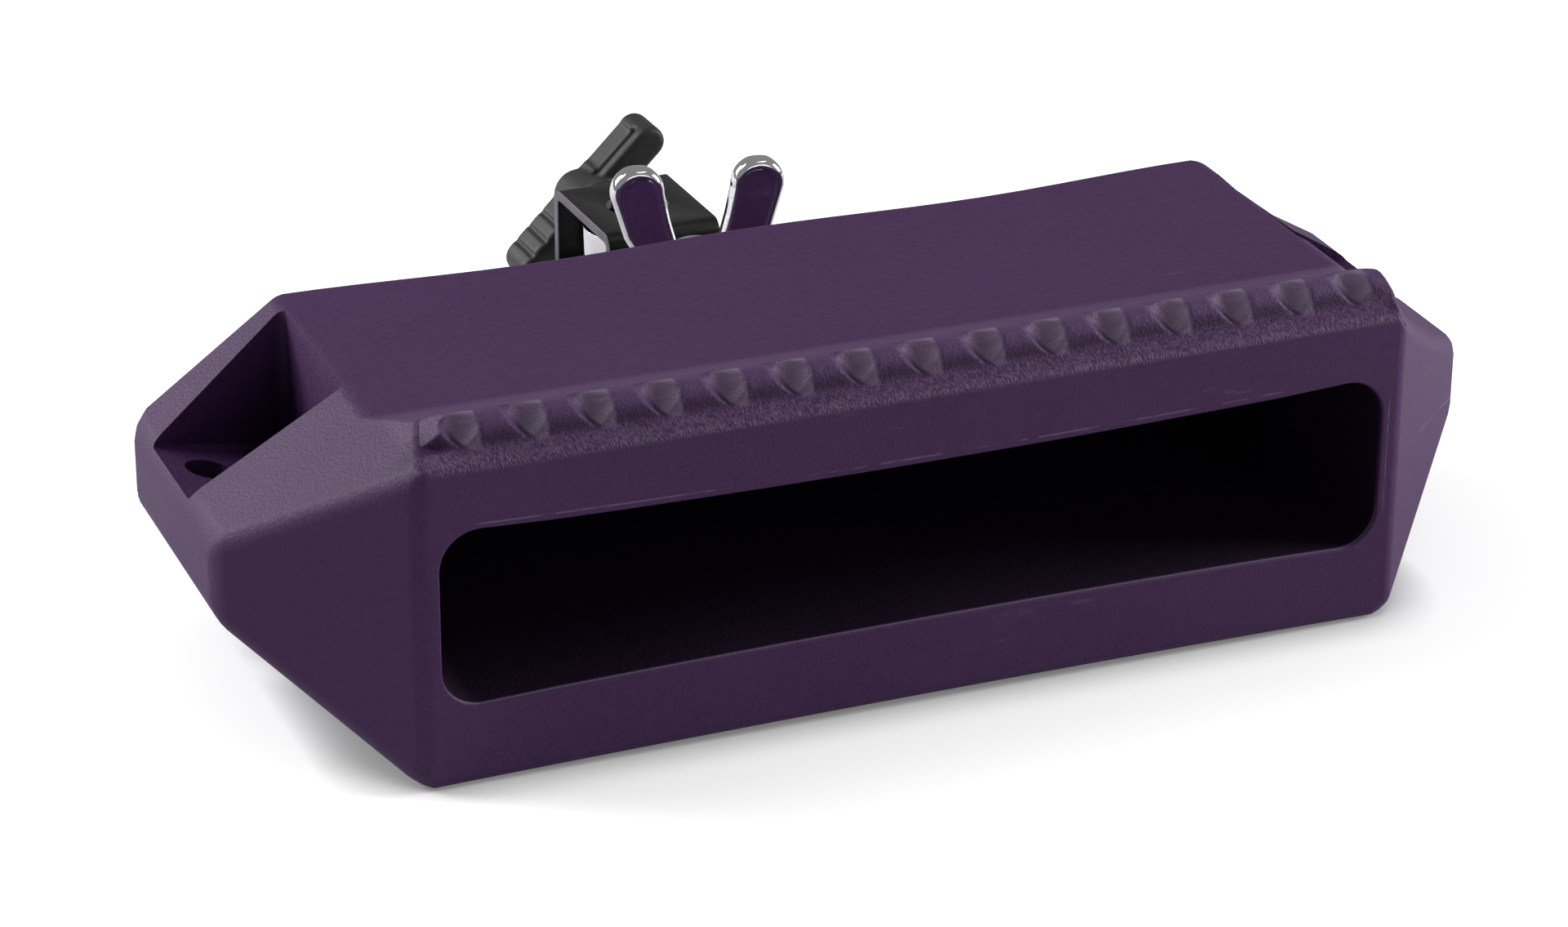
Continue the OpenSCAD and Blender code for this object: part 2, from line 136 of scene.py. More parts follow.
def tube_piece(name, radius, low, high, place, along="Z", sides=48):
    turn = {"Z": (0, 0, 0), "Y": (-math.pi / 2, 0, 0), "X": (0, math.pi / 2, 0)}[along]
    bpy.ops.object.select_all(action="DESELECT")
    bpy.ops.mesh.primitive_cylinder_add(vertices=sides, radius=radius, depth=high - low, rotation=turn)
    obj = bpy.context.object
    obj.name = obj.data.name = name
    mid = (low + high) / 2
    shift = {"Z": (0, 0, mid), "Y": (0, mid, 0), "X": (mid, 0, 0)}[along]
    obj.location = Vector(place) + Vector(shift)
    bpy.ops.object.transform_apply(location=True, rotation=True, scale=True)
    return obj

# %% [markdown]
# A plane cuts off what lies beyond it, or only adds a line of edges. Each modifier is applied as soon as it
# is set, so that the next step works on a plain mesh, and a bevel takes the edges that pass a test.

# %% Helpers for cutting and rounding
def slice_off(obj, point, normal):
    """Cuts off what lies beyond the plane and closes the cut."""
    edit(obj)
    bpy.ops.mesh.select_all(action="SELECT")
    bpy.ops.mesh.bisect(plane_co=point, plane_no=normal, use_fill=True, clear_outer=True)
    done()


def score(obj, point, normal):
    """Adds a line of edges where the plane crosses the mesh."""
    edit(obj)
    bpy.ops.mesh.select_all(action="SELECT")
    bpy.ops.mesh.bisect(plane_co=point, plane_no=normal)
    done()


def apply_modifier(obj, kind, **values):
    only(obj)
    mod = obj.modifiers.new(kind.lower(), kind)
    for key, value in values.items():
        setattr(mod, key, value)
    bpy.ops.object.modifier_apply(modifier=mod.name)


def combine(obj, other, operation):
    apply_modifier(obj, "BOOLEAN", object=other, operation=operation, solver="EXACT")
    bpy.data.objects.remove(other)


def round_edges(obj, test, width, segments):
    edit(obj, "EDGE")
    count = pick(obj, "EDGE", test)
    if count:
        bpy.ops.mesh.bevel(offset=width, segments=segments, affect="EDGES", clamp_overlap=True)
    done()
    return count


def near(value, target, reach=0.05 * MM):
    return abs(value - target) < reach


def smooth(obj, degrees):
    only(obj)
    bpy.ops.object.shade_smooth_by_angle(angle=math.radians(degrees))

# %% [markdown]
# The block is one thick moulding. Its outside is a long box whose ends are cut to wedges, so a cube is
# sliced by planes: two slopes and one front corner facet at each end. Before that, the top is raised along
# the front into a low wedge, so that the sloped ends cut it flush. The right slope has sunk a little.

# %% The block's outside
CREST_D = 17.5 * MM
CREST_H = 4 * MM
FOOT_D = 31.3 * MM
# The lower right front corner is rounder than the others: how much is cut off it, and which way.
ROUND_CORNER = Vector((HALF_L, FRONT_Y, 0))
CORNER_CUT = 2.2 * MM
CORNER_WAY = Vector((0.49, -0.607, -0.626))
# Where the right slope has sunk: how far out from the top's end, and how deep, in mm.
SUNK_SLOPE = ((7, 1.5), (19, 1.3))
# Depth of the shrink hollows in the back, in its middle and a quarter in from each end, in mm.
SAG_MIDDLE = 1.5
SAG_QUARTER = 2.6
BASE_BOW = 0.9 * MM
BACK_STEPS = 24


def block_shell():
    shell = box_piece("block_skin", (-TIP_X, FRONT_Y, 0), (TIP_X, BACK_Y, TOP_Z))
    for depth in (CREST_D, FOOT_D):
        score(shell, (0, FRONT_Y + depth, 0), (0, 1, 0))
    edit(shell)
    pick(shell, "VERT", lambda v: near(v.co.y, FRONT_Y + CREST_D) and near(v.co.z, TOP_Z))
    bpy.ops.transform.translate(value=(0, 0, CREST_H))
    done()
    for side in (-1, 1):
        low_slope = Vector((side * END_LOW, 0, HALF_L - TIP_X)).normalized()
        slice_off(shell, (side * HALF_L, 0, 0), low_slope)
        high_slope = Vector((side * (TOP_Z - END_HIGH), 0, TIP_X - HALF_L)).normalized()
        slice_off(shell, (side * HALF_L, 0, TOP_Z), high_slope)
        facet = Vector((side * (FACET_Y - FRONT_Y), HALF_L - TIP_X, 0)).normalized()
        slice_off(shell, (side * HALF_L, FRONT_Y, 0), facet)
    slice_off(shell, ROUND_CORNER - CORNER_CUT * CORNER_WAY, CORNER_WAY)
    for out, drop in SUNK_SLOPE:
        x = HALF_L + out * MM
        score(shell, (x, 0, 0), (1, 0, 0))
        edit(shell)
        pick(shell, "VERT", lambda v: near(v.co.x, x) and v.co.z > END_HIGH)
        bpy.ops.transform.translate(value=(0, 0, -drop * MM))
        done()
    return shell


def sag(x):
    """Depth of the back's hollows at one place along it."""
    share = min(abs(x) / HALF_L, 1)
    broad = SAG_MIDDLE * math.cos(share * math.pi / 2) ** 2
    return (broad + SAG_QUARTER * math.sin(share * math.pi) ** 2) * MM


def shape_back(shell):
    """Draws the back in where the moulding has shrunk, and lets the base bow up a little in front."""
    places = [(2 * i / BACK_STEPS - 1) * HALF_L for i in range(1, BACK_STEPS)]
    for x in places:
        score(shell, (x, 0, 0), (1, 0, 0))
    edit(shell)
    for x in places:
        pick(shell, "VERT", lambda v: near(v.co.x, x) and near(v.co.y, BACK_Y))
        bpy.ops.transform.translate(value=(0, -sag(x), 0))
        pick(shell, "VERT", lambda v: near(v.co.x, x) and near(v.co.y, FRONT_Y) and near(v.co.z, 0))
        bpy.ops.transform.translate(value=(0, 0, BASE_BOW * (1 - (x / HALF_L) ** 2)))
    done()


block_skin = block_shell()
shape_back(block_skin)
print("block outside:", len(block_skin.data.polygons), "faces")

# %% [markdown]
# Moulded plastic has no knife edges. Each kind of edge has its own radius: broad at the tips, where the
# mould is polished round, and small along the front and the top. A shallow bed is left for the ridge.

# %% The block's rounded edges
WIDEST_R = 9 * MM
TIP_R = 4.5 * MM
TIP_BACK_R = 8 * MM
TIP_FRONT_R = 3.5 * MM
SLOPE_R = 3.5 * MM
CORNER_R = 1.6 * MM
FRONT_R = 2.6 * MM
FRONT_TOP_R = 1.4 * MM
CREST_R = 1.1 * MM
BACK_R = 2.2 * MM
CLEAR_Z = TOP_Z + 9 * MM
BED_LOW = (-102 * MM, FRONT_Y + 1.6 * MM, TOP_Z - 0.6 * MM)
BED_HIGH = (108.3 * MM, FRONT_Y + 19.2 * MM, CLEAR_Z)


def edge_angle(edge):
    return math.degrees(edge.calc_face_angle(0))


def edge_radius(edge):
    """The radius that the mould gives an edge, by where it lies and which way it runs."""
    at = middle(edge)
    along = (edge.verts[1].co - edge.verts[0].co).normalized()
    if abs(at.x) > TIP_X - 0.5 * MM:
        if abs(along.z) > 0.9:
            return TIP_BACK_R if at.y > 0 else TIP_FRONT_R
        return TIP_R
    if abs(at.x) > HALF_L + 2 * MM:
        return SLOPE_R
    if (at - ROUND_CORNER).length < 5 * MM:
        return CORNER_R
    if near(at.y, FRONT_Y):
        return FRONT_TOP_R if at.z > TOP_Z - 3 * MM or at.x > HALF_L - MM else FRONT_R
    if near(at.y, FRONT_Y + CREST_D) or at.z > TOP_Z + MM:
        return CREST_R
    return BACK_R


def round_outside(shell):
    """Gives each sharp edge a bevel weight, then lets one modifier round them all."""
    shell.data.attributes.new("bevel_weight_edge", "FLOAT", "EDGE")
    mesh = bmesh.new()
    mesh.from_mesh(shell.data)
    layer = mesh.edges.layers.float.get("bevel_weight_edge")
    for edge in mesh.edges:
        if len(edge.link_faces) > 1 and edge_angle(edge) >= 20:
            edge[layer] = edge_radius(edge) / WIDEST_R
    mesh.to_mesh(shell.data)
    mesh.free()
    apply_modifier(shell, "BEVEL", width=WIDEST_R, segments=4, limit_method="WEIGHT",
                   use_clamp_overlap=False, miter_outer="MITER_SHARP")


round_outside(block_skin)
combine(block_skin, box_piece("bed", BED_LOW, BED_HIGH), "DIFFERENCE")
print("block rounded:", len(block_skin.data.polygons), "faces")

# %% [markdown]
# The sound cavity is cut with a cutter that has the mouth's round corners and its slightly drawn-in long
# sides. Afterwards the rim is picked by its place on the front face and rounded.

# %% The sound cavity
MOUTH_X = HALF_L - 4.2 * MM
MOUTH_LOW = 18.2 * MM
MOUTH_HIGH = 57.4 * MM
MOUTH_R = 8.5 * MM
MOUTH_RIM_R = 1.7 * MM
MOUTH_STEPS = 12
# How far the long sides are drawn in at their middle, in mm.
MOUTH_BOW_LOW = 1.2
MOUTH_BOW_HIGH = 1.9
CAVITY_BACK = BACK_Y - 12 * MM
CAVITY_R = 3 * MM
CUT_PAST = 3 * MM


def cut_cavity(shell):
    low, high = (-MOUTH_X, FRONT_Y - CUT_PAST, MOUTH_LOW), (MOUTH_X, CAVITY_BACK, MOUTH_HIGH)
    cutter = box_piece("cavity_cutter", low, high)
    round_edges(cutter, lambda e: reach_along(e, 1) > 10 * MM, MOUTH_R, 8)
    places = [(2 * i / MOUTH_STEPS - 1) * (MOUTH_X - MOUTH_R) for i in range(1, MOUTH_STEPS)]
    for x in places:
        score(cutter, (x, 0, 0), (1, 0, 0))
    edit(cutter)
    for x in places:
        bow = MM * (1 - (x / MOUTH_X) ** 2)
        for z, way in ((MOUTH_LOW, MOUTH_BOW_LOW), (MOUTH_HIGH, -MOUTH_BOW_HIGH)):
            pick(cutter, "VERT", lambda v: near(v.co.x, x) and near(v.co.z, z, 0.01 * MM))
            bpy.ops.transform.translate(value=(0, 0, way * bow))
    done()
    round_edges(cutter, lambda e: near(middle(e).y, CAVITY_BACK), CAVITY_R, 3)
    combine(shell, cutter, "DIFFERENCE")

    def on_rim(edge):
        at = middle(edge)
        inside = abs(at.x) < MOUTH_X + MM and MOUTH_LOW - MM < at.z < MOUTH_HIGH + MM
        return near(at.y, FRONT_Y, 0.02 * MM) and inside and edge_angle(edge) > 60

    return round_edges(shell, on_rim, MOUTH_RIM_R, 4)


print("mouth rim edges:", cut_cavity(block_skin))

# %% [markdown]
# Each wedge end has a pocket with upright walls, three holes and a floor that falls towards the middle.
# The same cutter is shaped for either end.

# %% The end pockets
POCKET_Y = BACK_Y - 30.5 * MM
POCKET_FLOOR = END_HIGH + 0.3 * MM
POCKET_IN = HALF_L - 0.2 * MM
POCKET_OUT = TIP_X - 1.2 * MM
POCKET_HALF_IN = 22 * MM
POCKET_HALF_OUT = 14 * MM
POCKET_FALL = (POCKET_OUT - POCKET_IN) * math.tan(math.radians(14))
POCKET_IN_R = 2.5 * MM
POCKET_OUT_R = 1.2 * MM
POCKET_FLOOR_R = 0.8 * MM
POCKET_RIM_R = 1.6 * MM
FIXING_X = HALF_L + 12.5 * MM
FIXING_Y = BACK_Y - 26.5 * MM
FIXING_RING = 10 * MM
FIXING_R = 5 * MM


def pocket_cutter(side):
    x_low, x_high = sorted((side * POCKET_IN, side * POCKET_OUT))
    cutter = box_piece("pocket_cutter", (x_low, POCKET_Y - POCKET_HALF_IN, POCKET_FLOOR),
                       (x_high, POCKET_Y + POCKET_HALF_IN, CLEAR_Z))
    edit(cutter)
    pick(cutter, "VERT", lambda v: near(v.co.x, side * POCKET_OUT))
    narrower = (1, POCKET_HALF_OUT / POCKET_HALF_IN, 1)
    bpy.ops.transform.resize(value=narrower, center_override=(0, POCKET_Y, 0))
    pick(cutter, "VERT", lambda v: near(v.co.x, side * POCKET_IN) and near(v.co.z, POCKET_FLOOR))
    bpy.ops.transform.translate(value=(0, 0, -POCKET_FALL))
    done()
    for x, radius, segments in ((POCKET_IN, POCKET_IN_R, 4), (POCKET_OUT, POCKET_OUT_R, 3)):
        upright = lambda e: reach_along(e, 2) > 9 * MM and near(middle(e).x, side * x)
        round_edges(cutter, upright, radius, segments)
    round_edges(cutter, lambda e: middle(e).z < POCKET_FLOOR + 0.1 * MM, POCKET_FLOOR_R, 2)
    return cutter


def cut_pocket(shell, side):
    combine(shell, pocket_cutter(side), "DIFFERENCE")
    for turn in (0, 120, 240):
        x = side * (FIXING_X + FIXING_RING * math.cos(math.radians(turn)))
        y = FIXING_Y + FIXING_RING * math.sin(math.radians(turn))
        drill = tube_piece("drill", FIXING_R, -FIXING_R, POCKET_FLOOR + FIXING_R, (x, y, 0), sides=40)
        combine(shell, drill, "DIFFERENCE")

    def on_rim(edge):
        at = middle(edge)
        beside = side * at.x < POCKET_IN - MM or abs(at.y - POCKET_Y) > POCKET_HALF_IN + MM
        if beside or at.z < POCKET_FLOOR + 1.2 * MM:
            return False
        steep = [abs(face.normal.z) < 0.3 for face in edge.link_faces]
        return len(steep) == 2 and steep[0] != steep[1] and edge_angle(edge) > 30

    return round_edges(shell, on_rim, POCKET_RIM_R, 3)


for side in (-1, 1):
    print("pocket rim edges:", cut_pocket(block_skin, side))

# %% [markdown]
# The ridge is the wedge with a bead on its front slope. Both are bars with the profile that the left end
# shows, and the wedge's bar fills the bed. Fifteen boat-shaped cutters leave the scallops. Then a fine
# remesh and a few smoothing passes give the soft rims of a worn mould.

# %% The scraper ridge
SCALLOPS = 15
PITCH = 14.27 * MM
SCALLOP_SHIFT = 0.08
SCALLOP_TILT = math.radians(34.6)
SCALLOP_IN = 11.9 * MM
SCALLOP_UP = 6.7 * MM
# Rows of one scallop from its rear to its point, in mm: how far forward, its left side, its right side
# and its depth.
SCALLOP = ((-0.6, -4.7, 4.7, -0.2), (0, -4.4, 4.5, 0.4), (1.6, -3.8, 4.4, 1.3), (3.2, -3.1, 4.4, 1.9),
           (4.8, -2.5, 4.3, 2.1), (6.2, -1.9, 4.0, 1.8), (7.4, -1.1, 3.5, 1.2), (8.4, -0.2, 2.8, 0.6),
           (9.2, 0.6, 2.0, 0.1))
# Profiles: how far behind the front and above the top each corner lies, in mm.
BEAD_BACK = CREST_D / MM - 0.1
BEAD_TALL = 6.8
WEDGE = ((1.1, -3), (1.1, 0.27), (17.5, 4.02), (20, 3.3), (20, -3))
BEAD = ((6, 0.4), (6.3, 1.6), (7.3, 4.4), (8.8, 6), (10.4, 6.65), (12, BEAD_TALL), (13.8, 6.4), (15.7, 5.3),
        (BEAD_BACK, CREST_H / MM), (BEAD_BACK, 0.4))
# Stations along X: the place, the share of the profile that is left there, and how far its foot comes
# forward.
WEDGE_ENDS = ((-103.2, 1, 0), (111.5, 1, 0))
BEAD_ENDS = ((-109.6, 0.3, 0), (-108.4, 0.55, 0), (-106.8, 0.75, 0), (-104.8, 0.88, 0), (-102.4, 0.96, 0),
             (-99, 1, 0), (99, 1, 0), (103, 1, 0.4), (105.6, 0.98, 1.6), (107.6, 0.94, 3.4),
             (109.2, 0.88, 5.4), (110.4, 0.8, 7.2), (111.5, 0.7, 8.4))
# Planes that trim the bars: a point and a normal.
RIGHT_END = Vector((HALF_L + MM, 0, TOP_Z)), Vector((1, 0, 0.16))
CORNER_POINT = Vector((HALF_L - 0.8 * MM, FRONT_Y + 0.4 * MM, TOP_Z - 0.5 * MM))
RIGHT_CORNER = CORNER_POINT, Vector((0.773, -0.414, 0.48))
RIDGE_VOXEL = 0.42 * MM


def lofted(name, sections, place=Matrix()):
    """Joins sections with as many corners each into a closed piece, and moves it to its place."""
    mesh = bmesh.new()
    rings = [[mesh.verts.new(corner) for corner in section] for section in sections]
    mesh.faces.new(rings[0])
    mesh.faces.new(rings[-1][::-1])
    count = len(rings[0])
    for one, two in zip(rings, rings[1:]):
        for i in range(count):
            mesh.faces.new((one[i], two[i], two[(i + 1) % count], one[(i + 1) % count]))
    bmesh.ops.recalc_face_normals(mesh, faces=mesh.faces)
    mesh.transform(place)
    return piece_from(name, mesh)


def bar_piece(name, profile, stations):
    """A bar along X, its profile drawn in towards the crest and its foot brought forward at each station."""
    sections = []
    for x, share, forward in stations:
        section = []
        for deep, high in profile:
            drawn = BEAD_BACK + share * (deep - BEAD_BACK)
            if deep < 10:
                drawn -= forward * (1 - high / BEAD_TALL)
            lowered = share * high if high > 1 else high
            section.append((x * MM, FRONT_Y + drawn * MM, TOP_Z + lowered * MM))
        sections.append(section)
    return lofted(name, sections)


def left_end():
    """A point and the normal of a plane just inside the left slope."""
    normal = Vector((END_HIGH - TOP_Z, 0, TIP_X - HALF_L)).normalized()
    return Vector((-HALF_L, 0, TOP_Z)) - 0.5 * MM * normal, normal


def scallop_cutter(x):
    """A boat shape, straight behind and pointed in front, with a short steep side and a long gentle one."""
    sections = []
    for along, left, right, deep in SCALLOP:
        low_at = left + 0.36 * (right - left)
        corners = ((left - 3.4, 4), (left, 0), (low_at - 0.5, -0.93 * deep), (low_at, -deep),
                   (low_at + 0.6, -0.95 * deep), (right + 0.4, 0.9), (right + 2.4, 4))
        sections.append([(a * MM, -along * MM, h * MM) for a, h in corners])
    place = Matrix.Translation((x, FRONT_Y + SCALLOP_IN, TOP_Z + SCALLOP_UP))
    return lofted("scallop", sections, place @ Matrix.Rotation(SCALLOP_TILT, 4, "X"))


def scraper_ridge():
    ridge = bar_piece("ridge", WEDGE, WEDGE_ENDS)
    bead = bar_piece("bead", BEAD, BEAD_ENDS)
    slice_off(bead, *left_end())
    for bar in (ridge, bead):
        slice_off(bar, *RIGHT_END)
        slice_off(bar, *RIGHT_CORNER)
    combine(ridge, bead, "UNION")
    for i in range(SCALLOPS):
        combine(ridge, scallop_cutter((i - (SCALLOPS - 1) / 2 + SCALLOP_SHIFT) * PITCH), "DIFFERENCE")
    apply_modifier(ridge, "REMESH", mode="VOXEL", voxel_size=RIDGE_VOXEL)
    apply_modifier(ridge, "SMOOTH", factor=0.5, iterations=5)
    apply_modifier(ridge, "DECIMATE", ratio=0.4)
    return ridge


ridge = scraper_ridge()
print("ridge:", len(ridge.data.polygons), "faces")

# %% [markdown]
# The shelf that carries the clamp grows out of the back wall. It is a box with a round end, stiffened by
# an upright rib, and its root is rounded into the wall.

# %% The shelf
BOLT_Y = (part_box("swivel_bolt")[0].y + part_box("swivel_bolt")[1].y) / 2
SHELF_TOP = 36 * MM
SHELF_LOW = 24 * MM
SHELF_HALF = 16 * MM
SHELF_ROOT = BACK_Y - 6 * MM
SHELF_R = 1 * MM
HOLE_R = 8 * MM
RIB_HALF = 4 * MM
RIB_REACH = 17 * MM


def shelf_piece():
    arm = box_piece("shelf", (-SHELF_HALF, SHELF_ROOT, SHELF_LOW), (SHELF_HALF, BOLT_Y, SHELF_TOP))
    nose = tube_piece("nose", SHELF_HALF, SHELF_LOW, SHELF_TOP, (0, BOLT_Y, 0), sides=64)
    combine(arm, nose, "UNION")
    rib = box_piece("rib", (-RIB_HALF, SHELF_ROOT, 0), (RIB_HALF, BACK_Y + RIB_REACH, SHELF_LOW + 4 * MM))
    slice_off(rib, (0, BACK_Y, 0), Vector((0, SHELF_LOW, -RIB_REACH)).normalized())
    combine(arm, rib, "UNION")
    hole = tube_piece("hole", HOLE_R, SHELF_LOW - 5 * MM, SHELF_TOP + 5 * MM, (0, BOLT_Y, 0))
    combine(arm, hole, "DIFFERENCE")
    return arm


combine(block_skin, shelf_piece(), "UNION")


def shelf_edge(edge):
    at = middle(edge)
    on_shelf = at.y > BACK_Y - 3 * MM and abs(at.x) < SHELF_HALF + MM and at.z < SHELF_TOP + MM
    return on_shelf and edge_angle(edge) > 50


print("shelf edges:", round_edges(block_skin, shelf_edge, SHELF_R, 3))

# %% [markdown]
# The ridge joins the block as one piece. Weighted normals keep the broad faces flat beside their rounded
# edges.

# %% Joining the block
only(block_skin)
ridge.select_set(True)
bpy.ops.object.join()
smooth(block_skin, 30)
apply_modifier(block_skin, "WEIGHTED_NORMAL", keep_sharp=True, weight=80)
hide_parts("block")
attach(block_skin, "block_body")
print("block:", len(block_skin.data.polygons), "faces")

# %% [markdown]
# The small steel, rubber and brass pieces keep their exact solids' shape. A copy of each is merged and its
# edges are broken, because a real washer or bolt always catches the light along a rounded edge. The bracket
# and the eye are made the same way, with a broader edge.

# %% Small pieces with broken edges
# Each piece's node, the body that it rides on, its slot, its edge's width in mm and the steps across it.
SMALL_PIECES = (
    ("bolt_plate", "block_body", "zinc_steel", 0.4, 2),
    ("swivel_bolt", "block_body", "zinc_steel", 0.5, 2),
    ("lower_isolator", "block_body", "isolator_rubber", 0.8, 3),
    ("upper_isolator", "block_body", "isolator_rubber", 0.8, 3),
    ("spacer_sleeve", "block_body", "zinc_steel", 0.2, 2),
    ("foot_washer", "bracket", "zinc_steel", 0.25, 2),
    ("lock_washer", "nut_washer", "zinc_steel", 0.25, 2),
    ("knob_washer", "bracket", "zinc_steel", 0.25, 2),
    ("nylon_washer", "knob", "nylon", 0.25, 2),
    ("knob_insert", "knob", "brass", 0.3, 2),
    ("clamp_bracket", "bracket", "black_steel", 0.45, 3),
    ("eye_bolt", "eye_bolt", "chrome", 1.3, 5),
)


def softened(node, body, width, segments):
    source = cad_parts[node]
    skin = bpy.data.objects.new(node + "_skin", source.data.copy())
    bpy.context.scene.collection.objects.link(skin)
    edit(skin)
    bpy.ops.mesh.select_all(action="SELECT")
    bpy.ops.mesh.remove_doubles(threshold=0.002 * MM)
    bpy.ops.mesh.dissolve_limited(angle_limit=math.radians(0.5))
    bpy.ops.mesh.normals_make_consistent(inside=False)
    done()
    apply_modifier(skin, "BEVEL", width=width, segments=segments, limit_method="ANGLE",
                   angle_limit=math.radians(32))
    smooth(skin, 40)
    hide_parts(node)
    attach(skin, body)
    return skin


skins = {}
for node, body, slot, width, segments in SMALL_PIECES:
    skins[node] = softened(node, body, width * MM, segments)
print("small pieces:", len(skins))

# %% [markdown]
# The nylon washer turns with the knob, and the steel one beside it does not. It is made a hair thinner than
# its solid along the knob's axis, so that the two don't rub.

# %% The nylon washer
NYLON_SHARE = 0.94
washer_low, washer_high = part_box("nylon_washer")
washer_middle = (washer_low + washer_high) / 2
along_clamp = Vector((-math.sin(CLAMP_TURN), math.cos(CLAMP_TURN), 0))
thinner = Matrix.Scale(NYLON_SHARE, 4, along_clamp)
about_middle = Matrix.Translation(washer_middle) @ thinner @ Matrix.Translation(-washer_middle)
skins["nylon_washer"].data.transform(about_middle)
print("nylon washer across:", round((washer_high.x - washer_low.x) / MM, 1), "mm")

# %% [markdown]
# Cast and moulded pieces have no seams between their parts. Their rough shapes are united, remeshed with
# fine voxels and smoothed, which leaves a soft fillet wherever two shapes meet.

# %% Helpers for cast pieces
def swung(obj, turn, place):
    """Turns a piece about the upright axis and moves it to its place."""
    obj.data.transform(Matrix.Translation(place) @ Matrix.Rotation(turn, 4, "Z"))


def plate_piece(name, outline, low, high):
    """A flat plate: the outline is drawn in X and Z, and runs from low to high along Y."""
    mesh = bmesh.new()
    mesh.faces.new([mesh.verts.new((x, low, z)) for x, z in outline])
    obj = piece_from(name, mesh)
    edit(obj)
    bpy.ops.mesh.select_all(action="SELECT")
    bpy.ops.mesh.extrude_region_move(TRANSFORM_OT_translate={"value": (0, high - low, 0)})
    bpy.ops.mesh.select_all(action="SELECT")
    bpy.ops.mesh.normals_make_consistent(inside=False)
    done()
    return obj


def arc(centre, radius, start, end, count):
    """Points on an arc from one angle in degrees to another."""
    angles = [math.radians(start + (end - start) * i / count) for i in range(count + 1)]
    return [(centre[0] + radius * math.cos(a), centre[1] + radius * math.sin(a)) for a in angles]


def cast(obj, voxel, passes):
    apply_modifier(obj, "REMESH", mode="VOXEL", voxel_size=voxel)
    apply_modifier(obj, "SMOOTH", factor=0.5, iterations=passes)
    only(obj)
    bpy.ops.object.shade_smooth()

# %% [markdown]
# The wing nut is a tapered barrel with two flat wings, each dished on both sides. A wing's outline is two
# short rows of corners joined by an arc, and the second wing is the first one turned half round.

# %% The wing nut
NUT_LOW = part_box("wing_nut")[0].z
NUT_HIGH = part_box("wing_nut")[1].z
NUT_TALL = NUT_HIGH - NUT_LOW
NUT_TURN = math.radians(-8)
NUT_VOXEL = 0.32 * MM
BARREL_R = 7.3 * MM
BARREL_TOP = 8 * MM
BARREL_TAPER = 0.86
BORE_R = 4.06 * MM
WING_SPAN = 20.25 * MM
WING_TIP_R = 6.2 * MM
WING_HALF = 2.7 * MM
WING_R = 1.9 * MM
# Corners of a wing's lower and upper side, out from the axis and up from the seat, in mm.
WING_LOWER = ((5.2, 1.2), (9.8, 2.2), (14.4, 6), (17.2, 11))
WING_UPPER = ((6.5, 15), (4.6, 8))
DISH_MIDDLE = (12.2 * MM, 17.4 * MM)
DISH_INSET = 2.5 * MM
DISH_REACH = 9 * MM
DISH_X_SHARE = 1 - DISH_INSET / DISH_REACH
DISH_Z_SHARE = 1 - DISH_INSET / (1.35 * DISH_REACH)
DISH_FLOOR = 2.25 * MM
DISH_PAST = 4 * MM


def wing_outline():
    centre = (WING_SPAN - WING_TIP_R, NUT_TALL - WING_TIP_R)
    lower, upper = [[(x * MM, z * MM) for x, z in side] for side in (WING_LOWER, WING_UPPER)]
    return lower + arc(centre, WING_TIP_R, -18, 184, 20) + upper


def dish_outline():
    """The wing's outline, drawn in around its middle and without its root."""
    mid_x, mid_z = DISH_MIDDLE
    return [(mid_x + (x - mid_x) * DISH_X_SHARE, mid_z + (z - mid_z) * DISH_Z_SHARE)
            for x, z in wing_outline() if z > 5 * MM]


def wing(side):
    body = plate_piece("wing", wing_outline(), -WING_HALF, WING_HALF)
    round_edges(body, lambda e: reach_along(e, 1) < 0.1 * MM, WING_R, 4)
    for way in (-1, 1):
        low, high = sorted((way * DISH_FLOOR, way * DISH_PAST))
        combine(body, plate_piece("dish", dish_outline(), low, high), "DIFFERENCE")
    slice_off(body, (0, 0, NUT_TALL - 0.5 * MM), (0, 0, 1))
    if side < 0:
        body.data.transform(Matrix.Rotation(math.pi, 4, "Z"))
    return body


def make_wing_nut():
    nut = tube_piece("wing_nut_skin", BARREL_R, 0, BARREL_TOP, (0, 0, 0), sides=64)
    edit(nut)
    pick(nut, "VERT", lambda v: v.co.z > BARREL_TOP - MM)
    bpy.ops.transform.resize(value=(BARREL_TAPER, BARREL_TAPER, 1), center_override=(0, 0, 0))
    done()
    round_edges(nut, lambda e: edge_angle(e) > 50, 0.8 * MM, 3)
    for side in (-1, 1):
        combine(nut, wing(side), "UNION")
    cast(nut, NUT_VOXEL, 5)
    combine(nut, tube_piece("bore", BORE_R, -MM, 12 * MM, (0, 0, 0), sides=64), "DIFFERENCE")
    smooth(nut, 40)
    swung(nut, NUT_TURN, (0, BOLT_Y, NUT_LOW))
    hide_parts("wing_nut")
    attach(nut, "wing_nut")
    return nut


wing_nut = make_wing_nut()
print("wing nut:", len(wing_nut.data.polygons), "faces")

# %% [markdown]
# The hand knob is a thin bar on a flared hub. Its upper side is grooved where the fingers grip one end, and
# the other end's side is a shallow panel behind a rounded front band.

